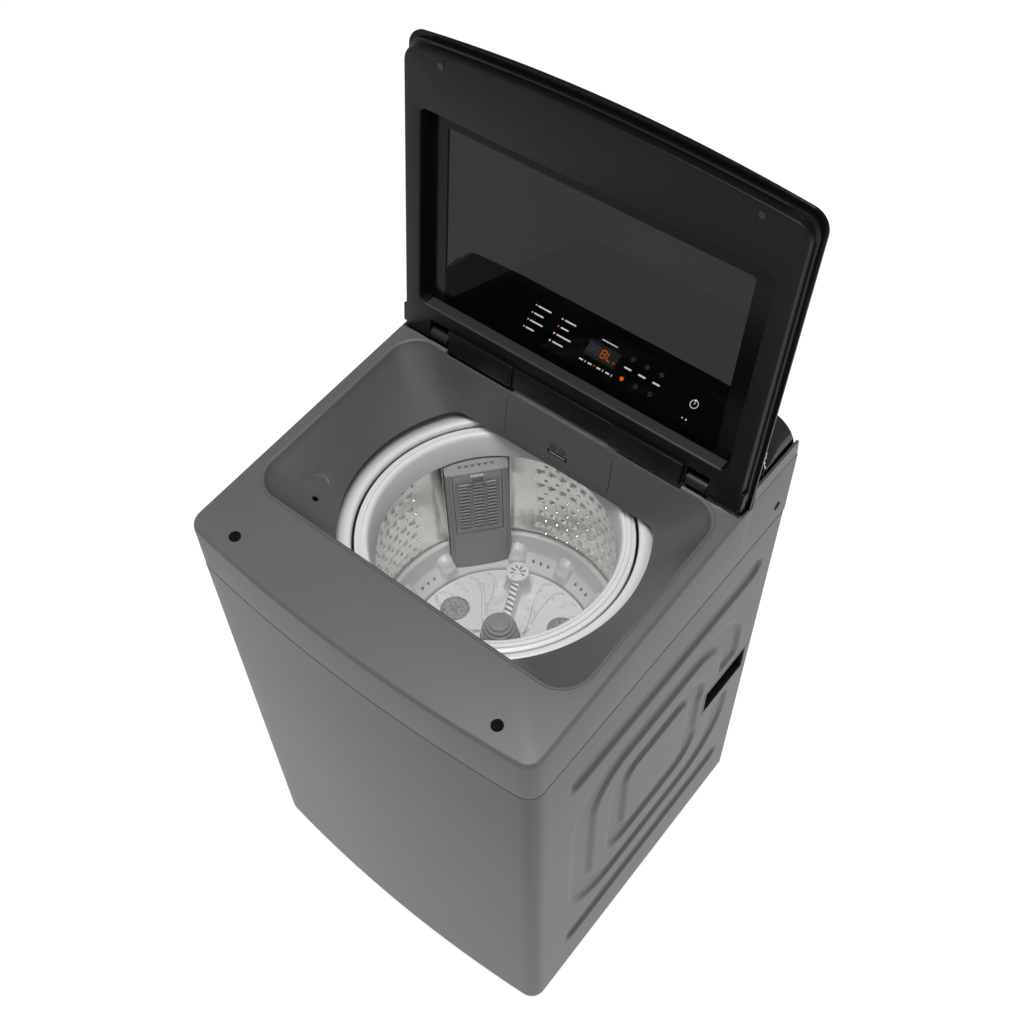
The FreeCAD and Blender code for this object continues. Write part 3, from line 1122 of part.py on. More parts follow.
valve_y = half_depth - s.cover_wall
valve_body = box("valve_body",
                 (s.valve_x - s.valve_half, valve_y - s.valve_length, s.valve_height - s.valve_half),
                 (s.valve_x + s.valve_half, valve_y, s.valve_height + s.valve_half))
shoulder = rod("thread_shoulder", s.thread_shoulder, (s.valve_x, valve_y, s.valve_height),
               s.cover_wall, "y")
thread = rod("thread", s.thread_radius, (s.valve_x, half_depth, s.valve_height), s.front_bow, "y")
thread_bore = rod("thread_bore", s.thread_radius - s.cover_wall, (s.valve_x, valve_y, s.valve_height),
                  s.cover_wall + s.front_bow, "y")
node(cut("valve", join("valve_solid", valve_body, shoulder, thread), thread_bore), "inlet_valve")
pipe_y = half_depth - s.valve_length / 2 - s.cover_wall
pipe_start = house_right - s.housing_wall
node(tube("fill", s.fill_radius, s.fill_radius - s.fill_wall, (pipe_start, pipe_y, s.valve_height),
          s.valve_x - s.valve_half - pipe_start, "x"), "fill_pipe")

drain_top = s.tub_low
drain_body = rod("drain_body", s.drain_body_radius, (s.drain_x, s.drain_y, s.drain_body_low),
                 drain_top - s.drain_body_low)
drain_bore = rod("drain_bore", s.drain_body_radius / 2, (s.drain_x, s.drain_y, s.drain_body_low),
                 drain_top - s.drain_body_low)
node(cut("drain", drain_body, drain_bore), "drain_valve")


def hose_run(radius):
    """The drain hose's round bar: down from the valve, one bend, then back to the spigot."""
    x, y, bend = float(s.drain_x), float(s.drain_y), float(s.drain_bend)
    low = float(s.drain_height)
    start = V(x, y, float(s.drain_body_low))
    before = V(x, y, low + bend)
    turn = V(x, y + bend * (1 - math.sqrt(0.5)), low + bend * (1 - math.sqrt(0.5)))
    after = V(x, y + bend, low)
    finish = V(x, float(half_depth - s.sheet_steel * 2 - s.spigot_flange_thick), low)
    path = Part.Wire([Part.LineSegment(start, before).toShape(), Part.Arc(before, turn, after).toShape(),
                      Part.LineSegment(after, finish).toShape()])
    section = Part.Wire([Part.makeCircle(radius, start, V(0, 0, -1))])
    return path.makePipeShell([section], True, False)


hose = DOC.addObject("Part::Feature", "hose")
hose_radius = float(s.drain_hose_radius)
hose.Shape = hose_run(hose_radius).cut(hose_run(hose_radius - float(s.drain_hose_wall)))
node(hose, "drain_hose")
inside_y = half_depth - s.sheet_steel * 2
spigot_flange = rod("spigot_flange", s.spigot_flange, (spigot_x, inside_y - s.spigot_flange_thick,
                                                       s.drain_height), s.spigot_flange_thick, "y")
spigot_step = rod("spigot_step", s.spigot_shoulder, (spigot_x, inside_y, s.drain_height),
                  s.sheet_steel * 2, "y")
spigot_neck = rod("spigot_neck", s.spigot_radius, (spigot_x, half_depth, s.drain_height),
                  s.spigot_reach, "y")
spigot_bore = rod("spigot_bore", s.spigot_bore,
                  (spigot_x, inside_y - s.spigot_flange_thick, s.drain_height),
                  s.spigot_flange_thick + s.sheet_steel * 2 + s.spigot_reach, "y")
node(cut("spigot", join("spigot_solid", spigot_flange, spigot_step, spigot_neck), spigot_bore),
     "drain_spigot")

sensor_base = s.bracket_height + s.bracket_plate
node(rod("sensor", s.sensor_radius, (s.sensor_x, s.sensor_y, sensor_base), s.sensor_height),
     "level_sensor")
tube_low = s.lug_low + s.lug_height
node(tube("air_tube", s.level_tube_radius, s.level_tube_bore, (s.sensor_x, s.sensor_y, tube_low),
          sensor_base - tube_low), "level_tube")
gland_in = rod("gland_flange", s.gland_radius * 3 / 2,
               (s.gland_x, inside_y - s.gland_reach / 2, s.gland_height),
               s.gland_reach / 2, "y")
gland_out = rod("gland_neck", s.gland_radius, (s.gland_x, inside_y, s.gland_height),
                s.sheet_steel * 2 + s.gland_reach, "y")
gland_bore = rod("gland_bore", s.gland_bore, (s.gland_x, inside_y - s.gland_reach / 2, s.gland_height),
                 s.gland_reach * 3 / 2 + s.sheet_steel * 2, "y")
node(cut("gland", join("gland_solid", gland_in, gland_out), gland_bore), "cord_gland")

# ---- check every object, then write one file for each piece ------------------------------------------

DOC.recompute()
troubles = [thing.Name for thing in DOC.Objects if {"Invalid", "Error"} & set(thing.State)]
if troubles:
    raise RuntimeError(f"failed objects: {troubles}")
labels = [piece.Label for piece in NODES]
if len(set(labels)) != len(labels):
    raise RuntimeError("two pieces share a name")
os.makedirs("parts", exist_ok=True)
for piece in NODES:
    if piece.Shape.isNull() or not piece.Shape.isValid():
        raise RuntimeError(f"{piece.Label} has no valid shape")
for piece in NODES:
    piece.Shape.exportStep(f"parts/{piece.Label}.step")
    print(f"{piece.Label}: {len(piece.Shape.Solids)} solids, {piece.Shape.Volume / 1000:.1f} cm3")
print(len(NODES), "pieces")
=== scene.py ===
import json
import math
import bmesh
import bpy
from mathutils import Matrix, Vector


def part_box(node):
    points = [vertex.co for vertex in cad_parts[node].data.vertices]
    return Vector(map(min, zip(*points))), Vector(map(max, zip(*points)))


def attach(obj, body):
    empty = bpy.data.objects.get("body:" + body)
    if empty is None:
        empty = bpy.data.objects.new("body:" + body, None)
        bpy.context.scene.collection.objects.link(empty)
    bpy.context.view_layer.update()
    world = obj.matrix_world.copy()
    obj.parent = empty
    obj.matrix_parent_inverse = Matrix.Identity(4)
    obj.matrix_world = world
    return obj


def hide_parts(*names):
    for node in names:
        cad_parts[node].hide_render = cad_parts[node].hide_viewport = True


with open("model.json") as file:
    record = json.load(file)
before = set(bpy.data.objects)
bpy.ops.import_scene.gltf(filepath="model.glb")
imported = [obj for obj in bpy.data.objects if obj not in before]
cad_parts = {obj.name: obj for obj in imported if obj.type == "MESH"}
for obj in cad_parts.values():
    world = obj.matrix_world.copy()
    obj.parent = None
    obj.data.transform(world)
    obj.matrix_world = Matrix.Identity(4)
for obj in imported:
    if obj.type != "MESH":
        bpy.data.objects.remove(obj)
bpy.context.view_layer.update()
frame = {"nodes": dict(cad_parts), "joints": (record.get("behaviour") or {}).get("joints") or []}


# ---- Studio ------------------------------------------------------------------------------------------
# A pale seamless floor, a white room and three large soft boxes: one high on the left, one lower at the
# right for the side, and one overhead.

def linear(code):
    """An sRGB hex colour as linear red, green, blue and alpha."""
    parts = [int(code[place:place + 2], 16) / 255 for place in (1, 3, 5)]
    return [((part + 0.055) / 1.055) ** 2.4 if part > 0.04045 else part / 12.92 for part in parts] + [1]


def plug(tree, node, links):
    """Gives each named input a value, or links another socket to it."""
    for name, value in links.items():
        if isinstance(value, bpy.types.NodeSocket):
            tree.links.new(value, node.inputs[name])
        else:
            node.inputs[name].default_value = value


def add(tree, kind, links=None, **settings):
    """Adds one shader node with its settings and its inputs."""
    made = tree.nodes.new(kind)
    for name, value in settings.items():
        setattr(made, name, value)
    plug(tree, made, links or {})
    return made


def blank(name):
    """A new material, its node tree and its shader."""
    made = bpy.data.materials.new(name)
    made.use_nodes = True
    return made, made.node_tree, made.node_tree.nodes["Principled BSDF"]


def noise(tree, where, scale, detail, **more):
    """Cloudy noise in the object's own coordinates, or in stretched ones."""
    return add(tree, "ShaderNodeTexNoise",
               {"Vector": where, "Scale": scale, "Detail": detail, **more}).outputs["Fac"]


def tones(colour, low, high):
    """A colour made darker and lighter by two factors."""
    return [[min(1.0, part * share) for part in linear(colour)[:3]] + [1] for share in (low, high)]


def blend(tree, factor, low, high):
    """Mixes two colours by a factor."""
    return add(tree, "ShaderNodeMix", {"Factor": factor, "A": low, "B": high},
               data_type="RGBA").outputs["Result"]


def remap(tree, value, low=0.0, high=1.0, start=0.0, end=1.0):
    """Maps a value from one range to another."""
    return add(tree, "ShaderNodeMapRange", {"Value": value, "From Min": start, "From Max": end,
                                            "To Min": low, "To Max": high}).outputs["Result"]


def relief(tree, height, strength, distance, **more):
    """A bump from a height."""
    return add(tree, "ShaderNodeBump", {"Height": height, "Strength": strength, "Distance": distance,
                                        **more}).outputs["Normal"]


def place_of(tree):
    """The place on the object that a texture is read at."""
    return add(tree, "ShaderNodeTexCoord").outputs["Object"]


camera_place = Vector((0.69439, -0.78352, 2.21745))
camera_yaw, camera_pitch, camera_roll = -0.7015, 0.9166, -0.0287
ahead = Vector((math.sin(camera_yaw) * math.cos(camera_pitch),
                math.cos(camera_yaw) * math.cos(camera_pitch), -math.sin(camera_pitch)))
level = Vector((math.cos(camera_yaw), -math.sin(camera_yaw), 0))
upright = level.cross(ahead)
right = level * math.cos(camera_roll) + upright * math.sin(camera_roll)
above = upright * math.cos(camera_roll) - level * math.sin(camera_roll)
bpy.ops.object.camera_add()
camera = bpy.context.object
camera.name = "studio_camera"
camera.matrix_world = Matrix(((right.x, above.x, -ahead.x, camera_place.x),
                              (right.y, above.y, -ahead.y, camera_place.y),
                              (right.z, above.z, -ahead.z, camera_place.z), (0, 0, 0, 1)))
camera.data.sensor_width = 36.0
camera.data.lens = 44.0
camera.data.clip_start = 0.01
bpy.context.scene.camera = camera

room = bpy.data.worlds.new("white_room")
room.use_nodes = True
bpy.context.scene.world = room
plug(room.node_tree, room.node_tree.nodes["Background"], {"Color": (1, 1, 1, 1), "Strength": 0.34})
bpy.context.scene.view_settings.view_transform = "Standard"

for name, place, aim, size, power in (
        ("left_softbox", (-2.6, -0.9, 2.3), (-0.2, -0.2, 0.7), 1.8, 11),
        ("right_softbox", (2.9, -0.3, 1.5), (0.2, 0.0, 0.5), 1.6, 12),
        ("overhead_softbox", (0.25, -0.45, 3.3), (0.0, 0.0, 0.7), 1.1, 52)):
    bpy.ops.object.light_add(type="AREA", location=place)
    lamp = bpy.context.object
    lamp.name = name
    lamp.rotation_euler = (Vector(aim) - Vector(place)).to_track_quat("-Z", "Y").to_euler()
    lamp.data.size = size
    lamp.data.energy = power

bpy.ops.mesh.primitive_plane_add(size=30)
floor = bpy.context.object
floor.name = "studio_floor"
floor_paint, floor_tree, floor_shader = blank("pale_studio_floor")
plug(floor_tree, floor_shader, {"Base Color": linear("#9C9C9C"), "Roughness": 0.9,
                                "Emission Color": (1, 1, 1, 1), "Emission Strength": 0.84})
floor.data.materials.append(floor_paint)


# ---- Cabinet wrap ------------------------------------------------------------------------------------
# One sheet of zinc-coated steel bent round the front and both sides, pressed with stiffening bands in
# the sides and enamelled titanium grey. It has a window at each side for the handle cup.

def enamel(name, colour, metal, roughness, shine=0.5):
    """Paint with a little metal flake: fine sparkle in the colour, a faint orange-peel bump."""
    flake_mm, mottle = 0.6, 0.08
    made, tree, shader = blank(name)
    where = place_of(tree)
    flake = noise(tree, where, 1000 / flake_mm, 2.0)
    cloud = noise(tree, where, 3.0, 3.0)
    both = add(tree, "ShaderNodeMath", {0: flake, 1: cloud}, operation="ADD").outputs[0]
    plug(tree, shader, {
        "Base Color": blend(tree, remap(tree, both, start=0.6, end=1.4),
                            *tones(colour, 1 - mottle, 1 + mottle)),
        "Roughness": remap(tree, cloud, roughness - 0.03, roughness + 0.04),
        "Normal": relief(tree, flake, 0.1, 0.0001),
        "Metallic": metal, "Specular IOR Level": shine})
    return made


def pick(*pieces):
    """Selects only the given pieces and makes the first one active."""
    bpy.ops.object.select_all(action="DESELECT")
    for piece in pieces:
        piece.select_set(True)
    bpy.context.view_layer.objects.active = pieces[0]


def skin(name, rings, around=True, along=False, ends=False):
    """A grid whose rows are laid on the given rings of points, then closed where they meet."""
    rows = [list(ring) + ([ring[0]] if around else []) for ring in rings]
    if along:
        rows.append(rows[0])
    bpy.ops.mesh.primitive_grid_add(x_subdivisions=len(rows[0]) - 1, y_subdivisions=len(rows) - 1)
    piece = bpy.context.object
    piece.name = name
    wide, high = len(rows[0]) - 1, len(rows) - 1
    for point in piece.data.vertices:
        column = round((point.co.x + 1) / 2 * wide)
        row = round((point.co.y + 1) / 2 * high)
        point.co = rows[row][column]
    bpy.ops.object.mode_set(mode="EDIT")
    bpy.ops.mesh.select_all(action="SELECT")
    bpy.ops.mesh.remove_doubles(threshold=0.000005)
    if ends:
        bpy.ops.mesh.select_all(action="DESELECT")
        bpy.ops.mesh.select_mode(type="EDGE")
        bpy.ops.mesh.select_non_manifold()
        bpy.ops.mesh.edge_face_add()
        bpy.ops.mesh.select_all(action="SELECT")
        bpy.ops.mesh.normals_make_consistent(inside=False)
    bpy.ops.mesh.select_mode(type="FACE")
    bpy.ops.object.mode_set(mode="OBJECT")
    return piece


def modify(piece, kind, **settings):
    """Adds one modifier, sets it and applies it."""
    pick(piece)
    added = piece.modifiers.new(kind.lower(), kind)
    for name, value in settings.items():
        setattr(added, name, value)
    bpy.ops.object.modifier_apply(modifier=added.name)
    return piece


def outward(piece, doubles=0.0):
    """Turns every face outwards, after merging points that are closer than a distance."""
    pick(piece)
    bpy.ops.object.mode_set(mode="EDIT")
    bpy.ops.mesh.select_all(action="SELECT")
    if doubles:
        bpy.ops.mesh.remove_doubles(threshold=doubles)
    bpy.ops.mesh.normals_make_consistent(inside=False)
    bpy.ops.object.mode_set(mode="OBJECT")
    return piece


def complete(piece, paint, body, *nodes, slot=None, sharp=35):
    """Paints a piece, smooths it up to an angle, and fixes it to the body that it moves with."""
    piece.data.materials.clear()
    piece.data.materials.append(paint)
    pick(piece)
    bpy.ops.object.shade_smooth_by_angle(angle=math.radians(sharp))
    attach(piece, body)
    if nodes:
        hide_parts(*nodes)
    return piece


def polar(reach, turn, height, centre=(0, 0)):
    """A place at a distance and an angle round an upright axis."""
    return Vector((centre[0] + reach * math.cos(turn), centre[1] + reach * math.sin(turn), height))


def round_ring(reach, height, points, centre=(0, 0)):
    """A level circle of points."""
    return [polar(reach, 2 * math.pi * step / points, height, centre) for step in range(points)]


def arc(centre_x, centre_y, radius, start, end, steps):
    """Points along an arc, from one angle to another, in degrees."""
    turns = [math.radians(start + (end - start) * step / steps) for step in range(steps + 1)]
    return [(centre_x + radius * math.cos(turn), centre_y + radius * math.sin(turn)) for turn in turns]


def bowed(half, rear, front, bow, corner, steps=8):
    """Plan outline: straight sides, a bowed front and rounded front corners; left rear to right rear."""
    bend = (half ** 2 + bow ** 2) / (2 * bow)
    centre = front - bow + bend
    corner_x = half - corner
    corner_y = centre - math.sqrt((bend - corner) ** 2 - corner_x ** 2)
    touch = math.degrees(math.atan2(corner_y - centre, corner_x))
    right_side = arc(corner_x, corner_y, corner, touch, 0, steps)
    middle = arc(0, centre, bend, -180 - touch, touch, steps * 3)
    left_side = [(-x, y) for x, y in reversed(right_side)]
    return [(-half, rear)] + left_side + middle[1:-1] + right_side + [(half, rear)]


def smooth(value):
    """An S-shaped step from 0 to 1."""
    value = min(1.0, max(0.0, value))
    return value * value * (3 - 2 * value)


def rounded_distance(x, y, left, right, low, high, corner):
    """How far a point is outside a rounded rectangle; negative inside it."""
    reach_x = abs(x - (left + right) / 2) - (right - left) / 2 + corner
    reach_y = abs(y - (low + high) / 2) - (high - low) / 2 + corner
    outside = math.hypot(max(reach_x, 0), max(reach_y, 0))
    return outside + min(max(reach_x, reach_y), 0) - corner


wrap_low, wrap_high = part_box("cabinet_wrap")
half_width = wrap_high.x
rear_face = wrap_high.y
front_bow = 0.0174
front_side = wrap_low.y + front_bow
corner_radius = 0.0246
rear_flange = 0.026
press_depth = 0.0044
press_slope = 0.0078
grid_step = 0.0049
cup_low, cup_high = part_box("side_handle_cups")
window_margin = 0.0034
window_y = (cup_low.y + window_margin, cup_high.y - window_margin)
window_z = (cup_low.z + window_margin, cup_high.z - window_margin)
pressed_rings = (((-0.200, 0.233, 0.208, 0.650, 0.115), (-0.145, 0.180, 0.250, 0.602, 0.078)),
                 ((-0.107, 0.138, 0.296, 0.560, 0.058), (-0.063, 0.095, 0.340, 0.523, 0.025)))
pressed_bars = ((-0.212, 0.250, 0.693, 0.742, 0.0245), (-0.208, 0.242, 0.115, 0.165, 0.025))


def pressing(y, z):
    """How far the bands are pressed in at a place on the side."""
    height = 0.0
    for outer, inner in pressed_rings:
        rise = smooth(-rounded_distance(y, z, *outer) / press_slope)
        fall = smooth(rounded_distance(y, z, *inner) / press_slope)
        height = max(height, rise * fall)
    for bar in pressed_bars:
        height = max(height, smooth(-rounded_distance(y, z, *bar) / press_slope))
    near_cup = rounded_distance(y, z, cup_low.y - 0.012, cup_high.y + 0.1, cup_low.z - 0.018,
                                cup_high.z + 0.018, 0.01)
    return press_depth * height * smooth(near_cup / 0.014)


def stations(start, end, step, *exact):
    """Evenly spaced values between two ends, with some exact ones among them."""
    count = max(1, round(abs(end - start) / step))
    values = {round(start + (end - start) * place / count, 6) for place in range(count + 1)}
    values = [value for value in values if all(abs(value - fixed) > step * 0.3 for fixed in exact)]
    return sorted(set(values) | set(exact), reverse=start > end)


side_depths = stations(rear_face - 0.004, front_side + 0.03, grid_step, *window_y)
plan = [(half_width - rear_flange, rear_face, 0), (half_width - 0.004, rear_face, 0)]
plan += [(half_width - 0.0012, rear_face - 0.0012, 0)]
plan += [(half_width, depth, 1) for depth in side_depths]
front_line = bowed(half_width, front_side + 0.02, front_side, front_bow, corner_radius)
plan += [(-x, y, 0) for x, y in front_line[1:-1]]
plan += [(-half_width, depth, -1) for depth in reversed(side_depths)]
plan += [(-x, y, 0) for x, y, side in reversed(plan[:3])]
wrap_heights = stations(wrap_low.z, wrap_high.z, grid_step, *window_z)
sheet = [[Vector((x - side * pressing(y, z), y, z)) for x, y, side in plan] for z in wrap_heights]
wrap = skin("cabinet_wrap_pressed", sheet, around=False)
bpy.ops.object.mode_set(mode="EDIT")
shape = bmesh.from_edit_mesh(wrap.data)
for face in shape.faces:
    middle = face.calc_center_median()
    inside = window_y[0] < middle.y < window_y[1] and window_z[0] < middle.z < window_z[1]
    face.select = inside and abs(middle.x) > half_width - 0.01
bmesh.update_edit_mesh(wrap.data)
bpy.ops.mesh.delete(type="FACE")
bpy.ops.object.mode_set(mode="OBJECT")
modify(wrap, "SOLIDIFY", thickness=0.001, offset=-1)
# The wrap's titanium grey is set darker than the cover's moulding of the same grey. This is painted shade on
# the upright front and sides.
titanium_enamel_painted_shade = enamel("titanium_grey_enamel_painted_shade", "#48494A", 0.15, 0.34, shine=0.17)
complete(wrap, titanium_enamel_painted_shade, "cabinet", "cabinet_wrap", slot="painted_steel")


# ---- Top cover ---------------------------------------------------------------------------------------
# A moulded ABS frame clipped on the cabinet: the sloped deck, a rounded lip, the funnel down to the
# drum's mouth, and the trough behind it that the hinge sits in.

cover_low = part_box("top_cover")[0]
deck_front = 0.8898
deck_slope = 0.0777
rear_deck = 0.931
deck_edge_radius = 0.0065
rim_radius = 0.0035
bead_width, bead_rise = 0.0024, 0.0012
cover_wall = 0.003
skirt_overhang = 0.0005
rim = (-0.271, 0.271, -0.187, 0.142, 0.042)
mouth_height = 0.828
mouth_radius, mouth_front, mouth_back, mouth_corner = 0.220, -0.178, 0.130, 0.028
cover_centre = (0.0, -0.022)


def deck(y):
    """Height of the deck at a depth; behind the lid it rises to the console's seat."""
    slope = deck_front + deck_slope * (y - front_side)
    return slope + (rear_deck - slope) * smooth((y - 0.150) / 0.026)


def rounded(left, right, low, high, corner, steps=10):
    """A rectangle with rounded corners, anticlockwise from the lower right corner."""
    return (arc(right - corner, low + corner, corner, -90, 0, steps)
            + arc(right - corner, high - corner, corner, 0, 90, steps)
            + arc(left + corner, high - corner, corner, 90, 180, steps)
            + arc(left + corner, low + corner, corner, 180, 270, steps))


def cropped_circle(radius, front, back, corner, steps=10):
    """A circle cut straight at its front and back, its corners rounded."""
    inner = radius - corner
    front_turn = math.degrees(math.asin((front + corner) / inner))
    back_turn = math.degrees(math.asin((back - corner) / inner))
    front_x = inner * math.cos(math.radians(front_turn))
    back_x = inner * math.cos(math.radians(back_turn))
    half = (arc(front_x, front + corner, corner, -90, front_turn, steps)
            + arc(0, 0, radius, front_turn, back_turn, steps * 4)[1:-1]
            + arc(back_x, back - corner, corner, back_turn, 90, steps))
    return half + [(-x, y) for x, y in reversed(half)]


def seen_from(centre, outline, turns):
    """The outline's points in each of the given directions from a centre inside it."""
    found = []
    count = len(outline)
    for turn in turns:
        way = (math.cos(turn), math.sin(turn))
        best = None
        for index in range(count):
            ax, ay = outline[index][0] - centre[0], outline[index][1] - centre[1]
            bx = outline[(index + 1) % count][0] - centre[0] - ax
            by = outline[(index + 1) % count][1] - centre[1] - ay
            cross = way[0] * by - way[1] * bx
            if abs(cross) < 1e-12:
                continue
            reach = (ax * by - ay * bx) / cross
            share = (ax * way[1] - ay * way[0]) / cross
            if reach > 0 and -1e-9 <= share <= 1 + 1e-9 and (best is None or reach > best):
                best = reach
        found.append((centre[0] + way[0] * best, centre[1] + way[1] * best))
    return found


def directions(centre, *outlines, even=200):
    """Even directions round a centre, and one to every corner point of the outlines."""
    turns = {round(2 * math.pi * step / even, 5) for step in range(even)}
    for outline in outlines:
        turns |= {round(math.atan2(y - centre[1], x - centre[0]) % (2 * math.pi), 5)
                  for x, y in outline}
    ordered = sorted(turns)
    kept = [ordered[0]]
    for turn in ordered[1:]:
        if turn - kept[-1] > 0.0025:
            kept.append(turn)
    return kept


def body_plan(inset):
    """The body's outline, drawn in by an inset."""
    return bowed(half_width - inset, rear_face - inset, front_side + inset, front_bow,
                 max(corner_radius - inset, 0.002))


def rim_plan(grow):
    """The outline of the recess at deck height, grown by a width."""
    return rounded(rim[0] - grow, rim[1] + grow, rim[2] - grow, rim[3] + grow, rim[4] + grow)


def mouth_plan(grow):
    """The outline of the drum's mouth, grown by a width."""
    return cropped_circle(mouth_radius + grow, mouth_front - grow, mouth_back + grow,
                          mouth_corner + grow)


cover_turns = directions(cover_centre, body_plan(0), rim_plan(0), mouth_plan(0))


def level_ring(outline, height):
    """A ring on an outline, at a height that may depend on the depth."""
    points = seen_from(cover_centre, outline, cover_turns)
    return [Vector((x, y, height(y))) for x, y in points]


cover_rings = [level_ring(body_plan(-skirt_overhang), lambda y: cover_low.z)]
for step in range(5):
    lean = math.radians(22.5 * step)
    inset = deck_edge_radius * (1 - math.cos(lean))
    sink = deck_edge_radius * (1 - math.sin(lean))
    cover_rings.append(level_ring(body_plan(inset), lambda y: deck(y) - sink))
cover_rings.append(level_ring(rim_plan(rim_radius + bead_width), deck))
cover_rings.append(level_ring(rim_plan(rim_radius + bead_width * 0.7), lambda y: deck(y) + bead_rise))
for step in range(6):
    lean = math.radians(18 * step)
    grow = rim_radius * (1 - math.sin(lean))
    sink = rim_radius * (1 - math.cos(lean)) - bead_rise
    cover_rings.append(level_ring(rim_plan(grow), lambda y: deck(y) - sink))
rim_ring = cover_rings[-1]
mouth_ring = level_ring(mouth_plan(0), lambda y: mouth_height)
under_mouth = level_ring(mouth_plan(cover_wall), lambda y: mouth_height)
under_rim = level_ring(rim_plan(cover_wall), lambda y: deck(y) - cover_wall * 2)
wall_steps = 10


def sagging(high_ring, low_ring, share):
    """A ring part of the way down the recess wall, which bellies a little at both sides."""
    return [high.lerp(low, share) - Vector((0, 0, 0.006 * math.sin(math.pi * share)
                                            * smooth((abs(high.x) - 0.15) / 0.09)))
            for high, low in zip(high_ring, low_ring)]


for step in range(1, wall_steps):
    cover_rings.append(sagging(rim_ring, mouth_ring, step / wall_steps))
cover_rings.append(mouth_ring)
cover_rings.append(level_ring(mouth_plan(cover_wall / 2), lambda y: mouth_height - cover_wall))
cover_rings.append(under_mouth)
for step in range(wall_steps - 1, 0, -1):
    cover_rings.append(sagging(under_rim, under_mouth, step / wall_steps))
cover_rings.append(under_rim)
cover_rings.append(level_ring(body_plan(cover_wall), lambda y: deck(y) - cover_wall * 2))
cover_rings.append(level_ring(body_plan(cover_wall), lambda y: cover_low.z))
cover = outward(skin("top_cover_moulded", cover_rings, along=True))


def block(name, low, high, radius=0.0, segments=3):
    """A rectangular bar between two corners, its edges rounded."""
    middle = (Vector(low) + Vector(high)) / 2
    bpy.ops.mesh.primitive_cube_add(size=1, location=middle)
    piece = bpy.context.object
    piece.name = name
    piece.dimensions = Vector(high) - Vector(low)
    bpy.ops.object.transform_apply(location=True, rotation=True, scale=True)
    if radius:
        modify(piece, "BEVEL", width=radius, segments=segments, limit_method="NONE")
    return piece


def aside(side, near, far):
    """Two distances from the middle on one side, the lower value first."""
    return sorted((side * near, side * far))


def carve(piece, *tools):
    """Takes the tools' shapes out of a piece and removes the tools."""
    for tool in tools:
        modify(piece, "BOOLEAN", object=tool, operation="DIFFERENCE", solver="EXACT")
        bpy.data.objects.remove(tool)
    return piece


def unite(piece, *others):
    """Fuses pieces into one and removes the others."""
    for other in others:
        modify(piece, "BOOLEAN", object=other, operation="UNION", solver="EXACT")
        bpy.data.objects.remove(other)
    return piece


def post(name, centre, radius, low, high, points=32):
    """A round bar standing along Z."""
    return skin(name, [round_ring(radius, height, points, centre) for height in (low, high)], ends=True)


drawer_low, drawer_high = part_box("detergent_drawer")
drawer_gap = 0.001
trough_front, trough_back, trough_floor = 0.147, 0.176, 0.914
clear_above = 1.0
cuts = [block("trough", (0.004 - half_width, trough_front, trough_floor),
              (half_width - 0.004, trough_back, clear_above)),
        block("side_dip", (-0.31, 0.151, 0.920), (0.31, trough_back, clear_above)),
        block("ridge", (-0.204, 0.1395, 0.917), (0.204, 0.150, clear_above)),
        block("drawer_slot", (drawer_low.x - drawer_gap, mouth_back - 0.012, drawer_low.z - drawer_gap),
              (drawer_high.x + drawer_gap, 0.160, drawer_high.z + drawer_gap))]
modify(cover, "TRIANGULATE")
carve(cover, unite(*cuts))
carve(cover, post("cover_drain", (-0.215, -0.132), 0.0042, 0.80, 0.88))
pocket_corners = ((-0.248, -0.128), (-0.228, -0.088), (-0.2085, -0.141))
pocket_depth, pocket_corner = 0.0019, 0.011
pocket_centre = [sum(corner[axis] for corner in pocket_corners) / 3 for axis in (0, 1)]
touches = [cover.ray_cast(Vector((x, y, 1.2)), Vector((0, 0, -1)))[1] for x, y in pocket_corners]
pocket_normal = (touches[1] - touches[0]).cross(touches[2] - touches[0]).normalized()
pocket_plan = []
for index, (x, y) in enumerate(pocket_corners):
    way = math.degrees(math.atan2(y - pocket_centre[1], x - pocket_centre[0]))
    inward = 1 - pocket_corner * 1.6 / math.hypot(x - pocket_centre[0], y - pocket_centre[1])
    pocket_plan += arc(pocket_centre[0] + (x - pocket_centre[0]) * inward,
                       pocket_centre[1] + (y - pocket_centre[1]) * inward,
                       pocket_corner, way + 62, way - 62, 6)
pocket_rings = []
for lift, grow in ((-pocket_depth, 0.90), (0.0, 1.0), (0.02, 1.1)):
    ring = []
    for x, y in pocket_plan:
        x = pocket_centre[0] + (x - pocket_centre[0]) * grow
        y = pocket_centre[1] + (y - pocket_centre[1]) * grow
        drop = ((touches[0].x - x) * pocket_normal.x
                + (touches[0].y - y) * pocket_normal.y) / pocket_normal.z
        ring.append(Vector((x, y, touches[0].z + drop + lift)))
    pocket_rings.append(ring)
carve(cover, skin("cover_pocket", pocket_rings, ends=True))


def moulded(name, colour, roughness, grain_mm=0.8, bump=0.06, metal=0.0, coat=0.0, mottle=0.03, shine=0.5):
    """A moulded plastic: fine spark texture in the bump, a faint cloud in tone and gloss."""
    made, tree, shader = blank(name)
    where = place_of(tree)
    grain = noise(tree, where, 1000 / grain_mm, 3.0, Roughness=0.6)
    cloud = noise(tree, where, 9.0, 4.0)
    plug(tree, shader, {
        "Base Color": blend(tree, cloud, *tones(colour, 1 - mottle, 1 + mottle)),
        "Roughness": remap(tree, cloud, roughness - 0.04, roughness + 0.05),
        "Normal": relief(tree, grain, bump, 0.0002),
        "Metallic": metal, "Coat Weight": coat, "Specular IOR Level": shine})
    return made


titanium_abs = moulded("titanium_painted_abs", "#5B5C5D", 0.44, metal=0.20, shine=0.38)
complete(cover, titanium_abs, "cabinet", "top_cover", slot="cover_plastic", sharp=40)


# ---- Lid ---------------------------------------------------------------------------------------------
# Three layers that clip together: a tempered glass top with a printed black border, a dark outer frame
# and a moulded inner cover with a deep window. Everything is drawn shut and turned open with lid_at.

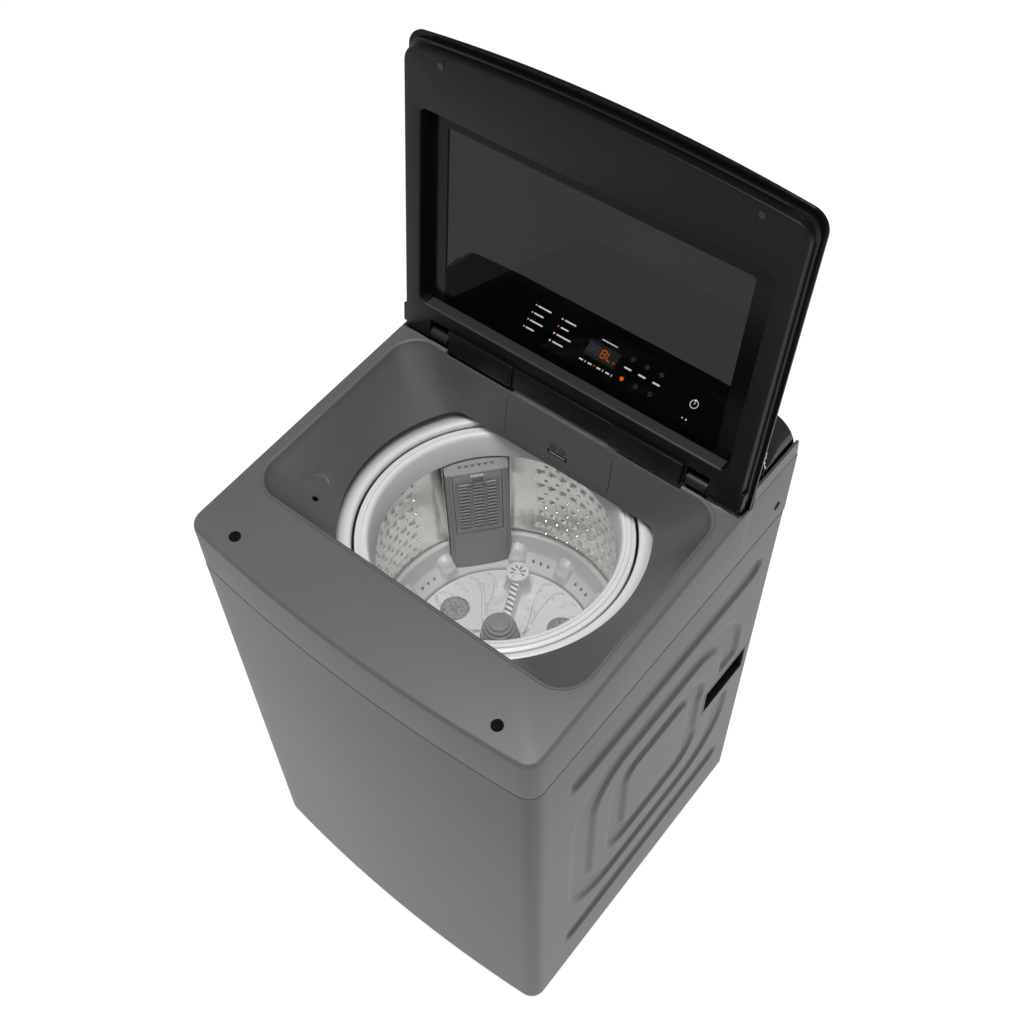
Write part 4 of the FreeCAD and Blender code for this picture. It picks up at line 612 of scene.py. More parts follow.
hinge = [joint for joint in frame["joints"] if joint["name"] == "lid_hinge"][0]["pos_m"]
lid_open = math.radians(101) - math.atan(deck_slope)
lid_cos, lid_sin = math.cos(lid_open), math.sin(lid_open)


def lid_at(x, reach, rise):
    """A place on the opened lid: across, forward from the hinge axis, and outward."""
    return Vector((x, hinge[1] - reach * lid_cos + rise * lid_sin,
                   hinge[2] + reach * lid_sin + rise * lid_cos))


def lid_plan(half, front, bow, corner, rear=0.009):
    """Outline of a lid layer as (across, forward) points."""
    return [(x, -y) for x, y in bowed(half, rear, bow - front, bow, corner)]


window = (-0.259, 0.259, 0.049, 0.351, 0.010)
lid_centre = (0.0, 0.200)
inner_half, inner_reach = 0.286, 0.4395
frame_half, frame_reach = 0.290, 0.444
glass_half, glass_reach = 0.295, 0.455
lid_bow, lid_corner = 0.013, 0.024
glass_bow, glass_corner = 0.018, 0.026
lid_turns = directions(lid_centre, lid_plan(inner_half, inner_reach, lid_bow, lid_corner),
                       rounded(*window), even=120)


def lid_ring(outline, rise):
    """A ring of the lid on an outline, at a rise from the hinge axis."""
    return [lid_at(x, reach, rise) for x, reach in seen_from(lid_centre, outline, lid_turns)]


def window_plan(grow):
    """The outline of the lid's window, grown by a width."""
    return rounded(window[0] - grow, window[1] + grow, window[2] - grow, window[3] + grow,
                   window[4] + grow, 6)


face_rise, seam_rise, glass_rise, glass_top = -0.008, 0.005, 0.011, 0.015
inner_edge = 0.0022
inner_rings = [lid_ring(lid_plan(inner_half, inner_reach, lid_bow, lid_corner), seam_rise)]
for step in range(5):
    lean = math.radians(22.5 * step)
    shrink = inner_edge * (1 - math.cos(lean))
    plan = lid_plan(inner_half - shrink, inner_reach - shrink, lid_bow, lid_corner - shrink, 0.009 - shrink)
    inner_rings.append(lid_ring(plan, face_rise + inner_edge * (1 - math.sin(lean))))
for step in range(5):
    lean = math.radians(22.5 * step)
    inner_rings.append(lid_ring(window_plan(inner_edge * (1 - math.sin(lean))),
                                face_rise + inner_edge * (1 - math.cos(lean))))
inner_rings.append(lid_ring(window_plan(0), glass_rise - 0.0002))
inner_rings.append(lid_ring(window_plan(0.003), glass_rise - 0.0002))
inner_rings.append(lid_ring(window_plan(0.003), seam_rise))
inner_cover = outward(skin("lid_inner_moulding", inner_rings, along=True))


def lid_block(name, across, reach, rise, radius=0.0015):
    """A bar on the lid, between two values each way, with rounded edges."""
    piece = block(name, (across[0], -reach[1], rise[0]), (across[1], -reach[0], rise[1]), radius)
    for point in piece.data.vertices:
        point.co = lid_at(point.co.x, -point.co.y, point.co.z)
    return piece


notch = (0.204, 0.239)
proud = []
for side in (-1, 1):
    span = aside(side, 0.084, 0.200)
    proud.append(lid_block("hinge_cheek", span, (-0.011, 0.027), (-0.014, -0.004)))
    span = aside(side, 0.280, 0.2905)
    proud.append(lid_block("lid_ear", span, (-0.003, 0.028), (-0.008, 0.0045)))
proud.append(lid_block("hinge_middle", (-0.085, 0.085), (-0.011, 0.0255), (-0.0120, -0.004)))
unite(inner_cover, *proud)
notches = []
for side in (-1, 1):
    span = aside(side, notch[0], notch[1])
    notches.append(lid_block("hinge_notch", span, (-0.02, 0.025), (-0.03, 0.0105), 0))
    notches.append(lid_block("caps_hole", (side * 0.2255 - 0.003, side * 0.2255 + 0.003),
                             (0.415, 0.421), (-0.02, -0.005), 0))
carve(inner_cover, *notches)
lid_abs = moulded("charcoal_lid_abs", "#060607", 0.42, bump=0.05, shine=0.22)
complete(inner_cover, lid_abs, "lid", "lid_inner_cover", slot="black_plastic")
# The window's lower sill is painted a lighter grey than the rest of the charcoal moulding. This is a painted
# highlight for the light the ledge catches while the lid stands open.
sill_painted_light_abs = moulded("satin_sill_abs_painted_light", "#2E2F30", 0.36, bump=0.05)
inner_cover.data.materials.append(sill_painted_light_abs)
for face in inner_cover.data.polygons:
    away = face.center - Vector((0, hinge[1], hinge[2]))
    reach = -away.y * lid_cos + away.z * lid_sin
    if 0.0465 < reach < 0.0500 and abs(face.center.x) < window[1] - window[4]:
        face.material_index = 1

frame_plan = lid_plan(frame_half, frame_reach, lid_bow, lid_corner)
frame_rings = [lid_ring(lid_plan(0.288, 0.442, lid_bow, lid_corner), seam_rise),
               lid_ring(frame_plan, seam_rise + 0.0015), lid_ring(frame_plan, glass_rise),
               lid_ring(window_plan(0.0034), glass_rise), lid_ring(window_plan(0.0034), seam_rise)]
outer_frame = outward(skin("lid_outer_moulding", frame_rings, along=True))
carve(outer_frame, *[lid_block("frame_notch", aside(side, notch[0], notch[1]),
                               (-0.02, 0.025), (-0.03, 0.02), 0) for side in (-1, 1)])
frame_abs = moulded("black_lid_frame_abs", "#0A0A0B", 0.30, bump=0.04, shine=0.3)
complete(outer_frame, frame_abs, "lid", "lid_outer_frame", slot="black_plastic")

glass_outline = lid_plan(glass_half, glass_reach, glass_bow, glass_corner)
ground = 0.0008
ground_outline = lid_plan(glass_half - ground, glass_reach - ground, glass_bow, glass_corner)
glass_clear = rounded(-0.2285, 0.2285, 0.050, 0.327, 0.006, 6)
glass_turns = directions(lid_centre, glass_outline, glass_clear, even=120)


def glass_ring(outline, rise):
    """A ring of the glass on an outline, at a rise from the hinge axis."""
    return [lid_at(x, reach, rise) for x, reach in seen_from(lid_centre, outline, glass_turns)]


glass = skin("lid_glass_pane",
             [glass_ring(glass_clear, glass_rise),
              glass_ring(ground_outline, glass_rise),
              glass_ring(glass_outline, glass_rise + ground), glass_ring(glass_outline, glass_top - ground),
              glass_ring(ground_outline, glass_top), glass_ring(glass_clear, glass_top)], ends=True)
smoked, smoked_tree, smoked_shader = blank("smoked_float_glass")
smoked_haze = noise(smoked_tree, place_of(smoked_tree), 5.0, 2.0)
plug(smoked_tree, smoked_shader, {"Alpha": remap(smoked_tree, smoked_haze, 0.815, 0.835),
                                  "Base Color": linear("#050505"), "Roughness": 0.03,
                                  "Specular IOR Level": 0.04})
printed = moulded("black_ceramic_print", "#0B0A0B", 0.16, bump=0.0, shine=0.12)
complete(glass, printed, "lid", "lid_glass", slot="tinted_glass")
glass.data.materials.append(smoked)
for face in glass.data.polygons:
    if len(face.vertices) > 10:
        face.material_index = 1


# ---- Console -----------------------------------------------------------------------------------------
# A gloss black hood with a bowed crown and rounded ends behind the lid, its control panel printed and
# lit from behind, and a grey seat that joins it to the cover.

hood_low, hood_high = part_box("console_housing")
hood_face_front, hood_lip = 0.1796, 0.944
shoulder_y, shoulder_z = 0.259, 0.993
crown_top = hood_high.z
end_radius, crown_bow = 0.046, 0.013


def crown(x):
    """Height of the hood's top at a place across it."""
    half = hood_high.x
    bend = (half ** 2 + crown_bow ** 2) / (2 * crown_bow)
    centre = crown_top - bend
    corner_x = half - end_radius
    corner_z = centre + math.sqrt((bend - end_radius) ** 2 - corner_x ** 2)
    reach = abs(x)
    touch_x = corner_x * bend / (bend - end_radius)
    if reach <= touch_x:
        return centre + math.sqrt(bend ** 2 - reach ** 2)
    return corner_z + math.sqrt(max(end_radius ** 2 - (reach - corner_x) ** 2, 0))


hood_profile = [(hood_face_front, hood_low.z), (hood_face_front, hood_lip - 0.003),
                (hood_face_front + 0.0012, hood_lip)]
hood_profile += [(hood_face_front + 0.0012 + (shoulder_y - hood_face_front) * step / 8,
                  hood_lip + (shoulder_z - hood_lip) * step / 8) for step in range(1, 9)]
hood_profile += [(0.2625, 0.9965), (0.266, crown_top), (0.270, crown_top), (0.274, crown_top - 0.0008),
                 (0.2765, crown_top - 0.004), (0.2805, hood_low.z)]
hood_stations = sorted({side * x for side in (-1, 1) for x in
                        [hood_high.x * step / 12 for step in range(10)]
                        + [hood_high.x - end_radius * (1 - math.sin(math.radians(9 * step)))
                           for step in range(11)]})
hood_rings = []
for x in hood_stations:
    top = crown(x)
    hood_rings.append([Vector((x, y, min(z, max(top, hood_low.z)))) for y, z in hood_profile])
hood = skin("console_hood", hood_rings, ends=True)
gloss_black = moulded("gloss_black_abs", "#070708", 0.12, bump=0.0, coat=0.5)
complete(hood, gloss_black, "cabinet", "console_housing", "console_touch_panel", slot="gloss_black",
         sharp=30)


# ---- Drum wall ---------------------------------------------------------------------------------------
# Stainless sheet rolled into a band: rows of punched drain holes with rows of pressed dimples set half
# a pitch over between them, and a plain strip left each side of the lint filter. It is polished inside.

joint_gap = 0.00002
drum_low, drum_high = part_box("drum_wall")
drum_reach = drum_high.x - 0.0008
ring_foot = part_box("balance_ring")[0].z
filter_turn = math.radians(140)
column_count = 51
column_turn = math.radians(5.88)
row_pairs = 6
grid_foot = 0.5592
cell_wide = drum_reach * column_turn
cell_high = 0.0170


def turned(piece, turn, shift=0.0):
    """Turns a piece's mesh about the drum's axis, then moves it along X."""
    for point in piece.data.vertices:
        x, y = point.co.x, point.co.y
        point.co.x = shift + x * math.cos(turn) - y * math.sin(turn)
        point.co.y = x * math.sin(turn) + y * math.cos(turn)
    return piece


def cell(name, rings, closed):
    """A square of sheet with eight-sided steps round its middle, each a (radius, depth) pair."""
    bpy.ops.mesh.primitive_circle_add(vertices=8, radius=rings[0][0],
                                      fill_type="NGON" if closed else "NOTHING")
    piece = bpy.context.object
    piece.name = name
    bpy.ops.object.mode_set(mode="EDIT")
    bpy.ops.mesh.select_mode(type="EDGE")
    bpy.ops.mesh.select_all(action="SELECT")
    bpy.ops.transform.translate(value=(0, 0, rings[0][1]))
    shape = bmesh.from_edit_mesh(piece.data)
    for line in shape.edges:
        line.select = True
    bmesh.update_edit_mesh(piece.data)
    for (inner, inner_depth), (outer, outer_depth) in zip(rings, rings[1:]):
        bpy.ops.mesh.extrude_edges_move()
        bpy.ops.transform.resize(value=(outer / inner, outer / inner, 1))
        bpy.ops.transform.translate(value=(0, 0, outer_depth - inner_depth))
    bpy.ops.mesh.extrude_edges_move()
    shape = bmesh.from_edit_mesh(piece.data)
    for point in shape.verts:
        if point.select:
            turn = math.atan2(point.co.y, point.co.x)
            widest = max(abs(math.cos(turn)), abs(math.sin(turn)))
            point.co = (round(math.cos(turn) / widest, 3) * cell_wide / 2,
                        round(math.sin(turn) / widest, 3) * cell_high / 2, 0)
    bmesh.update_edit_mesh(piece.data)
    bpy.ops.mesh.select_mode(type="VERT")
    bpy.ops.object.mode_set(mode="OBJECT")
    return piece


def duplicate(piece):
    """A copy of a piece with its own mesh."""
    pick(piece)
    bpy.ops.object.duplicate()
    return bpy.context.object


def gather(piece, *others):
    """Joins pieces into one object without changing their shapes."""
    pick(piece, *others)
    bpy.ops.object.join()
    return piece


drum_wall = cell("drum_wall_punched", [(0.0026, -0.0024), (0.0036, 0.0)], False)
dimple_cell = cell("dimple", [(0.0022, 0.0026), (0.0056, 0.0)], True)
for point in dimple_cell.data.vertices:
    point.co += Vector((cell_wide / 2, cell_high, 0))
gather(drum_wall, dimple_cell)
modify(drum_wall, "ARRAY", count=column_count, use_relative_offset=False, use_constant_offset=True,
       constant_offset_displace=(cell_wide, 0, 0), use_merge_vertices=True, merge_threshold=0.00005)
far_side = (column_count - 0.5) * cell_wide
fills = []
for left, foot_line in ((far_side, -cell_high / 2), (-cell_wide / 2, cell_high / 2)):
    fills.append(skin("fill", [[Vector((x, line, 0)) for x in (left, left + cell_wide / 2)]
                               for line in (foot_line, foot_line + cell_high / 2, foot_line + cell_high)],
                      around=False))
gather(drum_wall, *fills)
modify(drum_wall, "ARRAY", count=row_pairs, use_relative_offset=False, use_constant_offset=True,
       constant_offset_displace=(0, cell_high * 2, 0), use_merge_vertices=True, merge_threshold=0.00005)
first_turn = filter_turn + (2 * math.pi - (column_count + 0.5) * column_turn) / 2
for point in drum_wall.data.vertices:
    turn = first_turn + (point.co.x + cell_wide / 2) / drum_reach
    reach = drum_reach - point.co.z
    point.co = (reach * math.cos(turn), reach * math.sin(turn), grid_foot + point.co.y + cell_high / 2)


def wall_ring(turns, heights):
    """Plain sheet between angles and heights on the drum's cylinder."""
    return skin("plain_sheet", [[polar(drum_reach, turn, height) for turn in turns] for height in heights],
                around=False)


grid_top = grid_foot + row_pairs * cell_high * 2
round_turns = [first_turn + column_turn / 2 * step for step in range(column_count * 2 + 2)]
plain_turns = [filter_turn + (first_turn - filter_turn) * (step / 12 - 1) for step in range(25)]
gather(drum_wall, wall_ring(round_turns, (drum_low.z, grid_foot)),
       wall_ring(round_turns, (grid_top, drum_high.z)),
       wall_ring(plain_turns, (drum_low.z, grid_foot, 0.66, grid_top, drum_high.z)))
outward(drum_wall, 0.0001)
modify(drum_wall, "SOLIDIFY", thickness=0.0006, offset=-1)
flanges = []
for side in (-1, 1):
    near, far = aside(side, 0.0506, 0.0518)
    flanges.append(block("filter_flange", (0.1650, near, drum_low.z), (0.1836, far, ring_foot), 0.0003, 1))
gather(drum_wall, turned(gather(*flanges), filter_turn))


def polished(name, colour, roughness, streak_mm, flatness, stretch):
    """Polished sheet: long fine streaks along the rolling direction and a cloudy gloss."""
    made, tree, shader = blank(name)
    where = place_of(tree)
    stretched = add(tree, "ShaderNodeMapping", {"Vector": where, "Scale": stretch}).outputs["Vector"]
    streak = noise(tree, stretched, 1000 / streak_mm, 2.0)
    cloud = noise(tree, where, 14.0, 3.0)
    wave = relief(tree, cloud, flatness, 0.004)
    plug(tree, shader, {
        "Base Color": blend(tree, cloud, *tones(colour, 0.86, 1.1)),
        "Roughness": remap(tree, streak, roughness * 0.7, roughness * 1.4),
        "Normal": relief(tree, streak, 0.05, 0.0002, Normal=wave), "Metallic": 1.0})
    return made


stainless = polished("polished_stainless_sheet", "#EFEFEA", 0.19, 1.2, 0.45, (1, 1, 12))
complete(drum_wall, stainless, "drum", "drum_wall", slot="stainless", sharp=50)


# ---- Balance ring and tub ring -----------------------------------------------------------------------
# The balance ring is two welded halves of white polypropylene filled with brine, pressed on the drum's
# rim. The tub's cover ring outside it stays still and keeps washing out of the gap.

def lathe(name, profile, points, along=True, ripple=None):
    """Turns a profile of (radius, height) points about the drum's axis."""
    rings = []
    for place, (reach, height) in enumerate(profile):
        ring = []
        for step in range(points):
            turn = 2 * math.pi * step / points
            ring.append(polar(reach + (ripple(place, turn, step) if ripple else 0), turn, height))
        rings.append(ring)
    return outward(skin(name, rings, along=along), joint_gap)


ring_low, ring_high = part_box("balance_ring")
outside, foot, top = ring_high.x, ring_low.z, ring_high.z
white_pp = moulded("white_polypropylene", "#D8D9D9", 0.33, bump=0.03, mottle=0.02)
ring_profile = [(0.1902, foot), (0.1728, foot), (0.1716, foot + 0.0012), (0.1714, foot + 0.004),
                (outside - 0.0212, top - 0.008), (outside - 0.0200, top - 0.0035),
                (outside - 0.0182, top - 0.0010), (outside - 0.0165, top), (outside - 0.0140, top),
                (outside - 0.0132, top - 0.0020), (outside - 0.0112, top - 0.0020),
                (outside - 0.0104, top), (outside - 0.0072, top), (outside - 0.0062, top - 0.0024),
                (outside - 0.0030, top - 0.0028), (outside - 0.0008, top - 0.0042),
                (outside, top - 0.0065), (outside, 0.7963), (0.1902, 0.7963)]
ring = lathe("balance_ring_welded", ring_profile, 160)
complete(ring, white_pp, "drum", "balance_ring", slot="white_plastic")

tub_ring_low, tub_ring_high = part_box("tub_cover_ring")
tub_top = tub_ring_high.z
tub_ring_profile = [(0.2015, tub_top - 0.010), (0.2016, tub_top - 0.0050), (0.2024, tub_top - 0.0022),
                    (0.2042, tub_top - 0.0005), (0.2066, tub_top), (0.2105, tub_top - 0.0006),
                    (0.2145, tub_top - 0.0022), (0.2185, tub_top - 0.0048), (0.2230, tub_top - 0.0080),
                    (0.2420, tub_top - 0.0100), (0.242, tub_ring_low.z), (0.239, tub_ring_low.z),
                    (0.239, tub_top - 0.013), (0.2225, tub_top - 0.011), (0.2175, tub_top - 0.0078),
                    (0.2045, tub_top - 0.0045), (0.2042, tub_top - 0.010)]
tub_ring = lathe("tub_ring_moulded", tub_ring_profile, 160)
complete(tub_ring, white_pp, "tub", "tub_cover_ring", slot="white_plastic")


# ---- Drum base ---------------------------------------------------------------------------------------
# A white polypropylene bowl under the steel wall: a steep band with twelve rounded scrubbing knobs,
# triples of drain holes between them, and a flat floor that the pulsator turns over.

base_low, base_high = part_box("drum_base")
knob_gap = math.radians(20.5)
knob_count = 12
knob_pitch = (2 * math.pi - knob_gap * 2) / (knob_count - 1)
knob_turns = [filter_turn + knob_gap + knob_pitch * step for step in range(knob_count)]
band_top, band_foot = base_high.z, 0.500
band_reach, bend_reach, bend_height, foot_reach = 0.1822, 0.1745, 0.5255, 0.155
knob_top, knob_half, knob_dome = 0.5400, math.radians(5.0), 0.0150
band_steps = 30


def band_at(height):
    """Distance of the plain band from the axis at a height: steep above the bend, shallow below."""
    if height > bend_height:
        return bend_reach + (band_reach - bend_reach) * (height - bend_height) / (band_top - bend_height)
    return foot_reach + (bend_reach - foot_reach) * (height - band_foot) / (bend_height - band_foot)


def knob(turn, height):
    """How far the scrubbing knobs stand out of the band at a place."""
    off = min(abs((turn - middle + math.pi) % (2 * math.pi) - math.pi) for middle in knob_turns)
    above = max(0, (height - knob_top) / knob_dome + 1)
    bulge = math.sqrt(max(0, 1 - (off / knob_half) ** 2 - above ** 2))
    return min(0.0135, max(0, band_at(height) - 0.1556)) * bulge ** 0.7


base_profile = [(0.1902, band_top - 0.0050), (0.1868, band_top - 0.0050), (0.1862, band_top - 0.0006),
                (0.1856, band_top), (band_reach + 0.0016, band_top), (band_reach, band_top - 0.0012)]
for step in range(1, band_steps + 1):
    height = band_top - 0.0012 + (band_foot - band_top + 0.0012) * step / band_steps
    base_profile.append((band_at(height), height))
base_profile += [(foot_reach, 0.4865), (foot_reach - 0.002, 0.486), (0.0143, 0.486), (0.0143, base_low.z),
                 (0.078, base_low.z), (0.151, 0.478), (0.1902, 0.536)]
band_rows = range(6, 6 + band_steps)
drum_base = lathe("drum_base_bowl", base_profile, 480,
                  ripple=lambda place, turn, step: -knob(turn, base_profile[place][1])
                  if place in band_rows else 0)
drain_holes = []
for step in range(knob_count - 1):
    middle = knob_turns[step] + knob_pitch / 2
    for place in (-1, 0, 1):
        turn = middle + place * math.radians(4.6)
        drain_holes.append(post("drain_hole", (0.1655 * math.cos(turn), 0.1655 * math.sin(turn)), 0.0024,
                                0.490, 0.545, 10))
carve(drum_base, gather(*drain_holes))
complete(drum_base, white_pp, "drum", "drum_base", slot="white_plastic", sharp=40)


# ---- Lint filter -------------------------------------------------------------------------------------
# A dark grey acetal cassette in the drum's wall: a housing that runs down into the base, and a door
# with rows of slots, drops of small holes between them and a U-shaped finger latch at its top.

filter_face, door_thick = 0.158, 0.005
door_half, door_foot, door_top = 0.038, 0.600, 0.748
door_clear = 0.0006
housing_low, housing_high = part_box("lint_filter_housing")


def filter_bar(name, depth, across, rise, radius=0.0, segments=3):
    """A bar at the cassette's face: its depth, width and height each as a pair of values."""
    return block(name, (filter_face + depth[0], across[0], rise[0]),
                 (filter_face + depth[1], across[1], rise[1]), radius, segments)


housing = block("lint_filter_cassette", (filter_face, -0.0495, housing_low.z),
                (0.1835, 0.0495, housing_high.z), 0.0035, 3)
top_slope = block("top_slope", (filter_face - 0.01, -0.06, 0.7505), (0.1712, 0.06, housing_high.z + 0.002))
for point in top_slope.data.vertices:
    if point.co.x > filter_face and point.co.z < housing_high.z:
        point.co.x = filter_face
carve(housing, top_slope,
      filter_bar("door_room", (-0.01, 0.019), (-door_half - door_clear, door_half + door_clear),
                 (door_foot - door_clear, door_top + door_clear), 0.002, 2),
      *[filter_bar("side_line", (-0.002, 0.0012), aside(side, 0.0432, 0.0445), (0.51, 0.757))
        for side in (-1, 1)])
for step in range(6):
    gather(housing, block("serration", (0.1640, 0.010 * step - 0.0275, 0.7590),
                          (0.1690, 0.010 * step - 0.0225, 0.7650), 0.0008, 1))
acetal = moulded("dark_grey_acetal", "#9C9D9E", 0.34, bump=0.03)
complete(turned(housing, filter_turn), acetal, "drum", "lint_filter_housing", slot="dark_plastic")

door = filter_bar("lint_filter_door_slotted", (0, door_thick), (-door_half, door_half),
                  (door_foot + 0.001, door_top), 0.0012, 2)
door_panel = filter_bar("door_panel", (-0.002, 0.0014), (-door_half + 0.004, door_half - 0.004),
                        (0.6115, 0.7290), 0.0006, 1)
slot_foot, slot_pitch, slot_column = 0.6150, 0.0080, 0.022
slots, louvres = [], []
for row in range(13):
    height = slot_foot + row * slot_pitch
    for column in (-slot_column, 0.0, slot_column):
        slots.append(filter_bar("slot", (-0.01, 0.01), (column - 0.0076, column + 0.0076),
                                (height, height + 0.0036)))
        louvres.append(filter_bar("louvre", (-0.0016, 0.0030), (column - 0.0078, column + 0.0078),
                                  (height + 0.0038, height + 0.0076), 0.0008, 1))
    for column in (-slot_column / 2, slot_column / 2):
        louvres.append(filter_bar("stud", (-0.0012, 0.0030), (column - 0.0013, column + 0.0013),
                                  (height + 0.0015, height + 0.0043), 0.0006, 1))
carve(door, door_panel, gather(*slots))
louvres.append(filter_bar("top_bar", (-0.0014, 0.0030), (-0.0300, 0.0300), (0.7215, 0.7255), 0.0008, 1))
latch = filter_bar("latch", (-0.0050, 0.001), (-0.0115, 0.0115), (0.7315, 0.7475), 0.0020)
carve(latch, filter_bar("latch_hollow", (-0.008, -0.0004), (-0.0082, 0.0082), (0.7295, 0.7440), 0.0018, 2))
gather(door, latch, *louvres)
complete(turned(door, filter_turn), acetal, "filter_door", "lint_filter_door", slot="dark_plastic")


# ---- Pulsator ----------------------------------------------------------------------------------------
# A white polypropylene disc on the drum's floor: three tall ribs with cross slots and spoked end
# caps, swept grooves beside them, small hooks round the rim and a grey filter mesh in each field.

rib_turns = [math.radians(115 + 120 * step) for step in range(3)]
mesh_turns = [math.radians(55 + 120 * step) for step in range(3)]
mesh_reach, mesh_radius = 0.103, 0.024
disc_hub, disc_rim = 0.0235, 0.1495
disc_rows = 110
hook_pitch = math.radians(11.6)


def disc_height(reach):
    """Height of the plain disc at a distance from the axis."""
    return 0.512 - 0.014 * (reach - 0.024) / 0.128


def groove(off, half, depth):
    """The drop into a groove, at an offset from its middle line."""
    return -depth * smooth(1.6 - abs(off) / half)


def pit(across, along, radius, depth):
    """A small round pit at an offset from its own middle."""
    return -depth * smooth(1.5 - math.hypot(across, along) / radius)


def disc_surface(reach, turn):
    """Height of the disc's face at a place, with its grooves, pits and hooks."""
    height = disc_height(reach)
    nearest = min(rib_turns, key=lambda middle: abs((turn - middle + math.pi) % (2 * math.pi) - math.pi))
    off = (turn - nearest + math.pi) % (2 * math.pi) - math.pi
    side = 1 if off > 0 else -1
    across = abs(off)
    run = (reach - 0.040) / 0.086
    if 0 <= run <= 1:
        for foot, lift in ((0.50, 0.40), (0.31, 0.60)):
            path = foot + lift * (1 - run) ** 2.2
            height += groove((across - path) * reach, 0.0020, 0.0042)
        for foot in (0.215, 0.405):
            path = foot + 0.5 * (1 - run) ** 2.2
            along = ((reach - 0.048) / 0.017 + 0.5) % 1 - 0.5
            height += pit((across - path) * reach, along * 0.017, 0.0018, 0.0042)
    step = (turn / hook_pitch) % 1
    hook = (reach - 0.129) / 0.0165
    if across > 0.22:
        path = 0.5 + side * 0.36 * hook ** 2
        if 0 <= hook <= 1:
            height += groove((step - path) * hook_pitch * reach, 0.0017, 0.0042)
        for seat in (0.1265, 0.1195):
            height += pit((step - 0.5) * hook_pitch * reach, reach - seat, 0.0018, 0.0042)
    hollow = math.hypot((across * reach - 0.026) / 0.014, (reach - mesh_reach) / 0.026)
    height -= 0.0045 * smooth(1.25 - hollow)
    return height


disc_points = 600
disc_turns = [2 * math.pi / disc_points * place for place in range(disc_points)]
disc_rings = []
for step in range(disc_rows + 1):
    reach = disc_hub + (disc_rim - disc_hub) * step / disc_rows
    disc_rings.append([polar(reach, turn, disc_surface(reach, turn)) for turn in disc_turns])
for reach, height in ((0.151, 0.4978), (0.152, 0.4966), (0.152, 0.4932), (0.1488, 0.4930), (0.1480, 0.4936),
                      (0.024, 0.5010), (disc_hub, 0.5030)):
    disc_rings.append([polar(reach, turn, height) for turn in disc_turns])
pulsator = outward(skin("pulsator_moulded", disc_rings, along=True), 0.00001)
mesh_holes = [post("mesh_hole", (mesh_reach * math.cos(turn), mesh_reach * math.sin(turn)),
                   mesh_radius + 0.0003, 0.48, 0.53, 48) for turn in mesh_turns]
carve(pulsator, gather(*mesh_holes))

rib_end = 0.119
rib_top_near, rib_top_far = (0.040, 0.520), (rib_end, 0.5415)


def rib_section(reach):
    """Cross-section of a rib at a distance from the axis: flared foot, rounded top."""
    top = rib_top_near[1] + (rib_top_far[1] - rib_top_near[1]) * max(0, reach - rib_top_near[0]) / 0.079
    floor_height = disc_height(reach) - 0.004
    half = [(0.0140, floor_height), (0.0118, floor_height + 0.0035), (0.0092, floor_height + 0.006),
            (0.0078, floor_height + 0.010), (0.0070, top - 0.0022), (0.0060, top - 0.0006), (0.0044, top)]
    side = [Vector((reach, y, z)) for y, z in half]
    return side + [Vector((reach, 0, top))] + [Vector((reach, -y, z)) for y, z in reversed(half)]


rib = skin("rib", [rib_section(0.023 + 0.004 * step) for step in range(25)], ends=True)
end_profile = [(0.0, 0.5425), (0.0125, 0.5425), (0.0145, 0.5425), (0.0150, 0.5440), (0.0180, 0.5440),
               (0.0189, 0.5432), (0.0190, 0.5415), (0.0190, 0.520), (0.0200, 0.506), (0.0230, 0.499),
               (0.0, 0.499)]
end_cap = lathe("end_cap", end_profile, 48, along=False)
for point in end_cap.data.vertices:
    point.co.x += rib_end
rib_slots = []
for step in range(7):
    reach = 0.047 + 0.0082 * step
    rib_slots.append(block("rib_slot", (reach - 0.0019, -0.0060, 0.50), (reach + 0.0019, 0.0060, 0.56)))
    for point in rib_slots[-1].data.vertices:
        point.co.x += point.co.y * 0.35
        if point.co.z < 0.53:
            point.co.z = 0.5120 + (reach - 0.040) * 0.27
carve(rib, gather(*rib_slots))
spoke_slots = []
for step in range(8):
    spoke_slots.append(turned(block("spoke_slot", (0.0045, -0.0017, 0.5350), (0.0130, 0.0017, 0.56)),
                              math.radians(45 * step + 22.5), rib_end))
carve(end_cap, gather(*spoke_slots))
gather(rib, end_cap)
ribs = [rib] + [duplicate(rib) for step in range(2)]
for turn, copy in zip(rib_turns, ribs):
    turned(copy, turn)
gather(pulsator, *ribs)
complete(pulsator, white_pp, "agitator", "pulsator", slot="white_plastic", sharp=40)

meshes = []
for turn in mesh_turns:
    middle = (mesh_reach * math.cos(turn), mesh_reach * math.sin(turn))
    height = disc_height(mesh_reach)
    inset = lathe("pulsator_mesh_woven", [(0.0, height - 0.0003), (0.0205, height - 0.0008),
                                          (0.0210, height + 0.0003), (0.0236, height + 0.0003),
                                          (0.0240, height - 0.0002), (0.0240, height - 0.0026),
                                          (0.0, height - 0.0026)], 48, along=False)
    for point in inset.data.vertices:
        point.co.x += middle[0]
        point.co.y += middle[1]
    meshes.append(inset)
woven, woven_tree, woven_shader = blank("woven_polyester_mesh")
# The real mesh is 0.4 mm; it is drawn at 3.4 mm so that its weave shows.
woven_cells = add(woven_tree, "ShaderNodeTexVoronoi", {"Vector": place_of(woven_tree), "Scale": 1000 / 3.4,
                                                       "Randomness": 0.75})
woven_tone = remap(woven_tree, woven_cells.outputs["Distance"], start=0.15, end=0.55)
plug(woven_tree, woven_shader, {
    "Base Color": blend(woven_tree, woven_tone, linear("#4C4D4E"), linear("#9A9B9C")),
    "Normal": relief(woven_tree, woven_tone, 0.6, 0.0006), "Roughness": 0.6})
complete(gather(*meshes), woven, "agitator", "pulsator_mesh_insets", slot="grey_plastic")

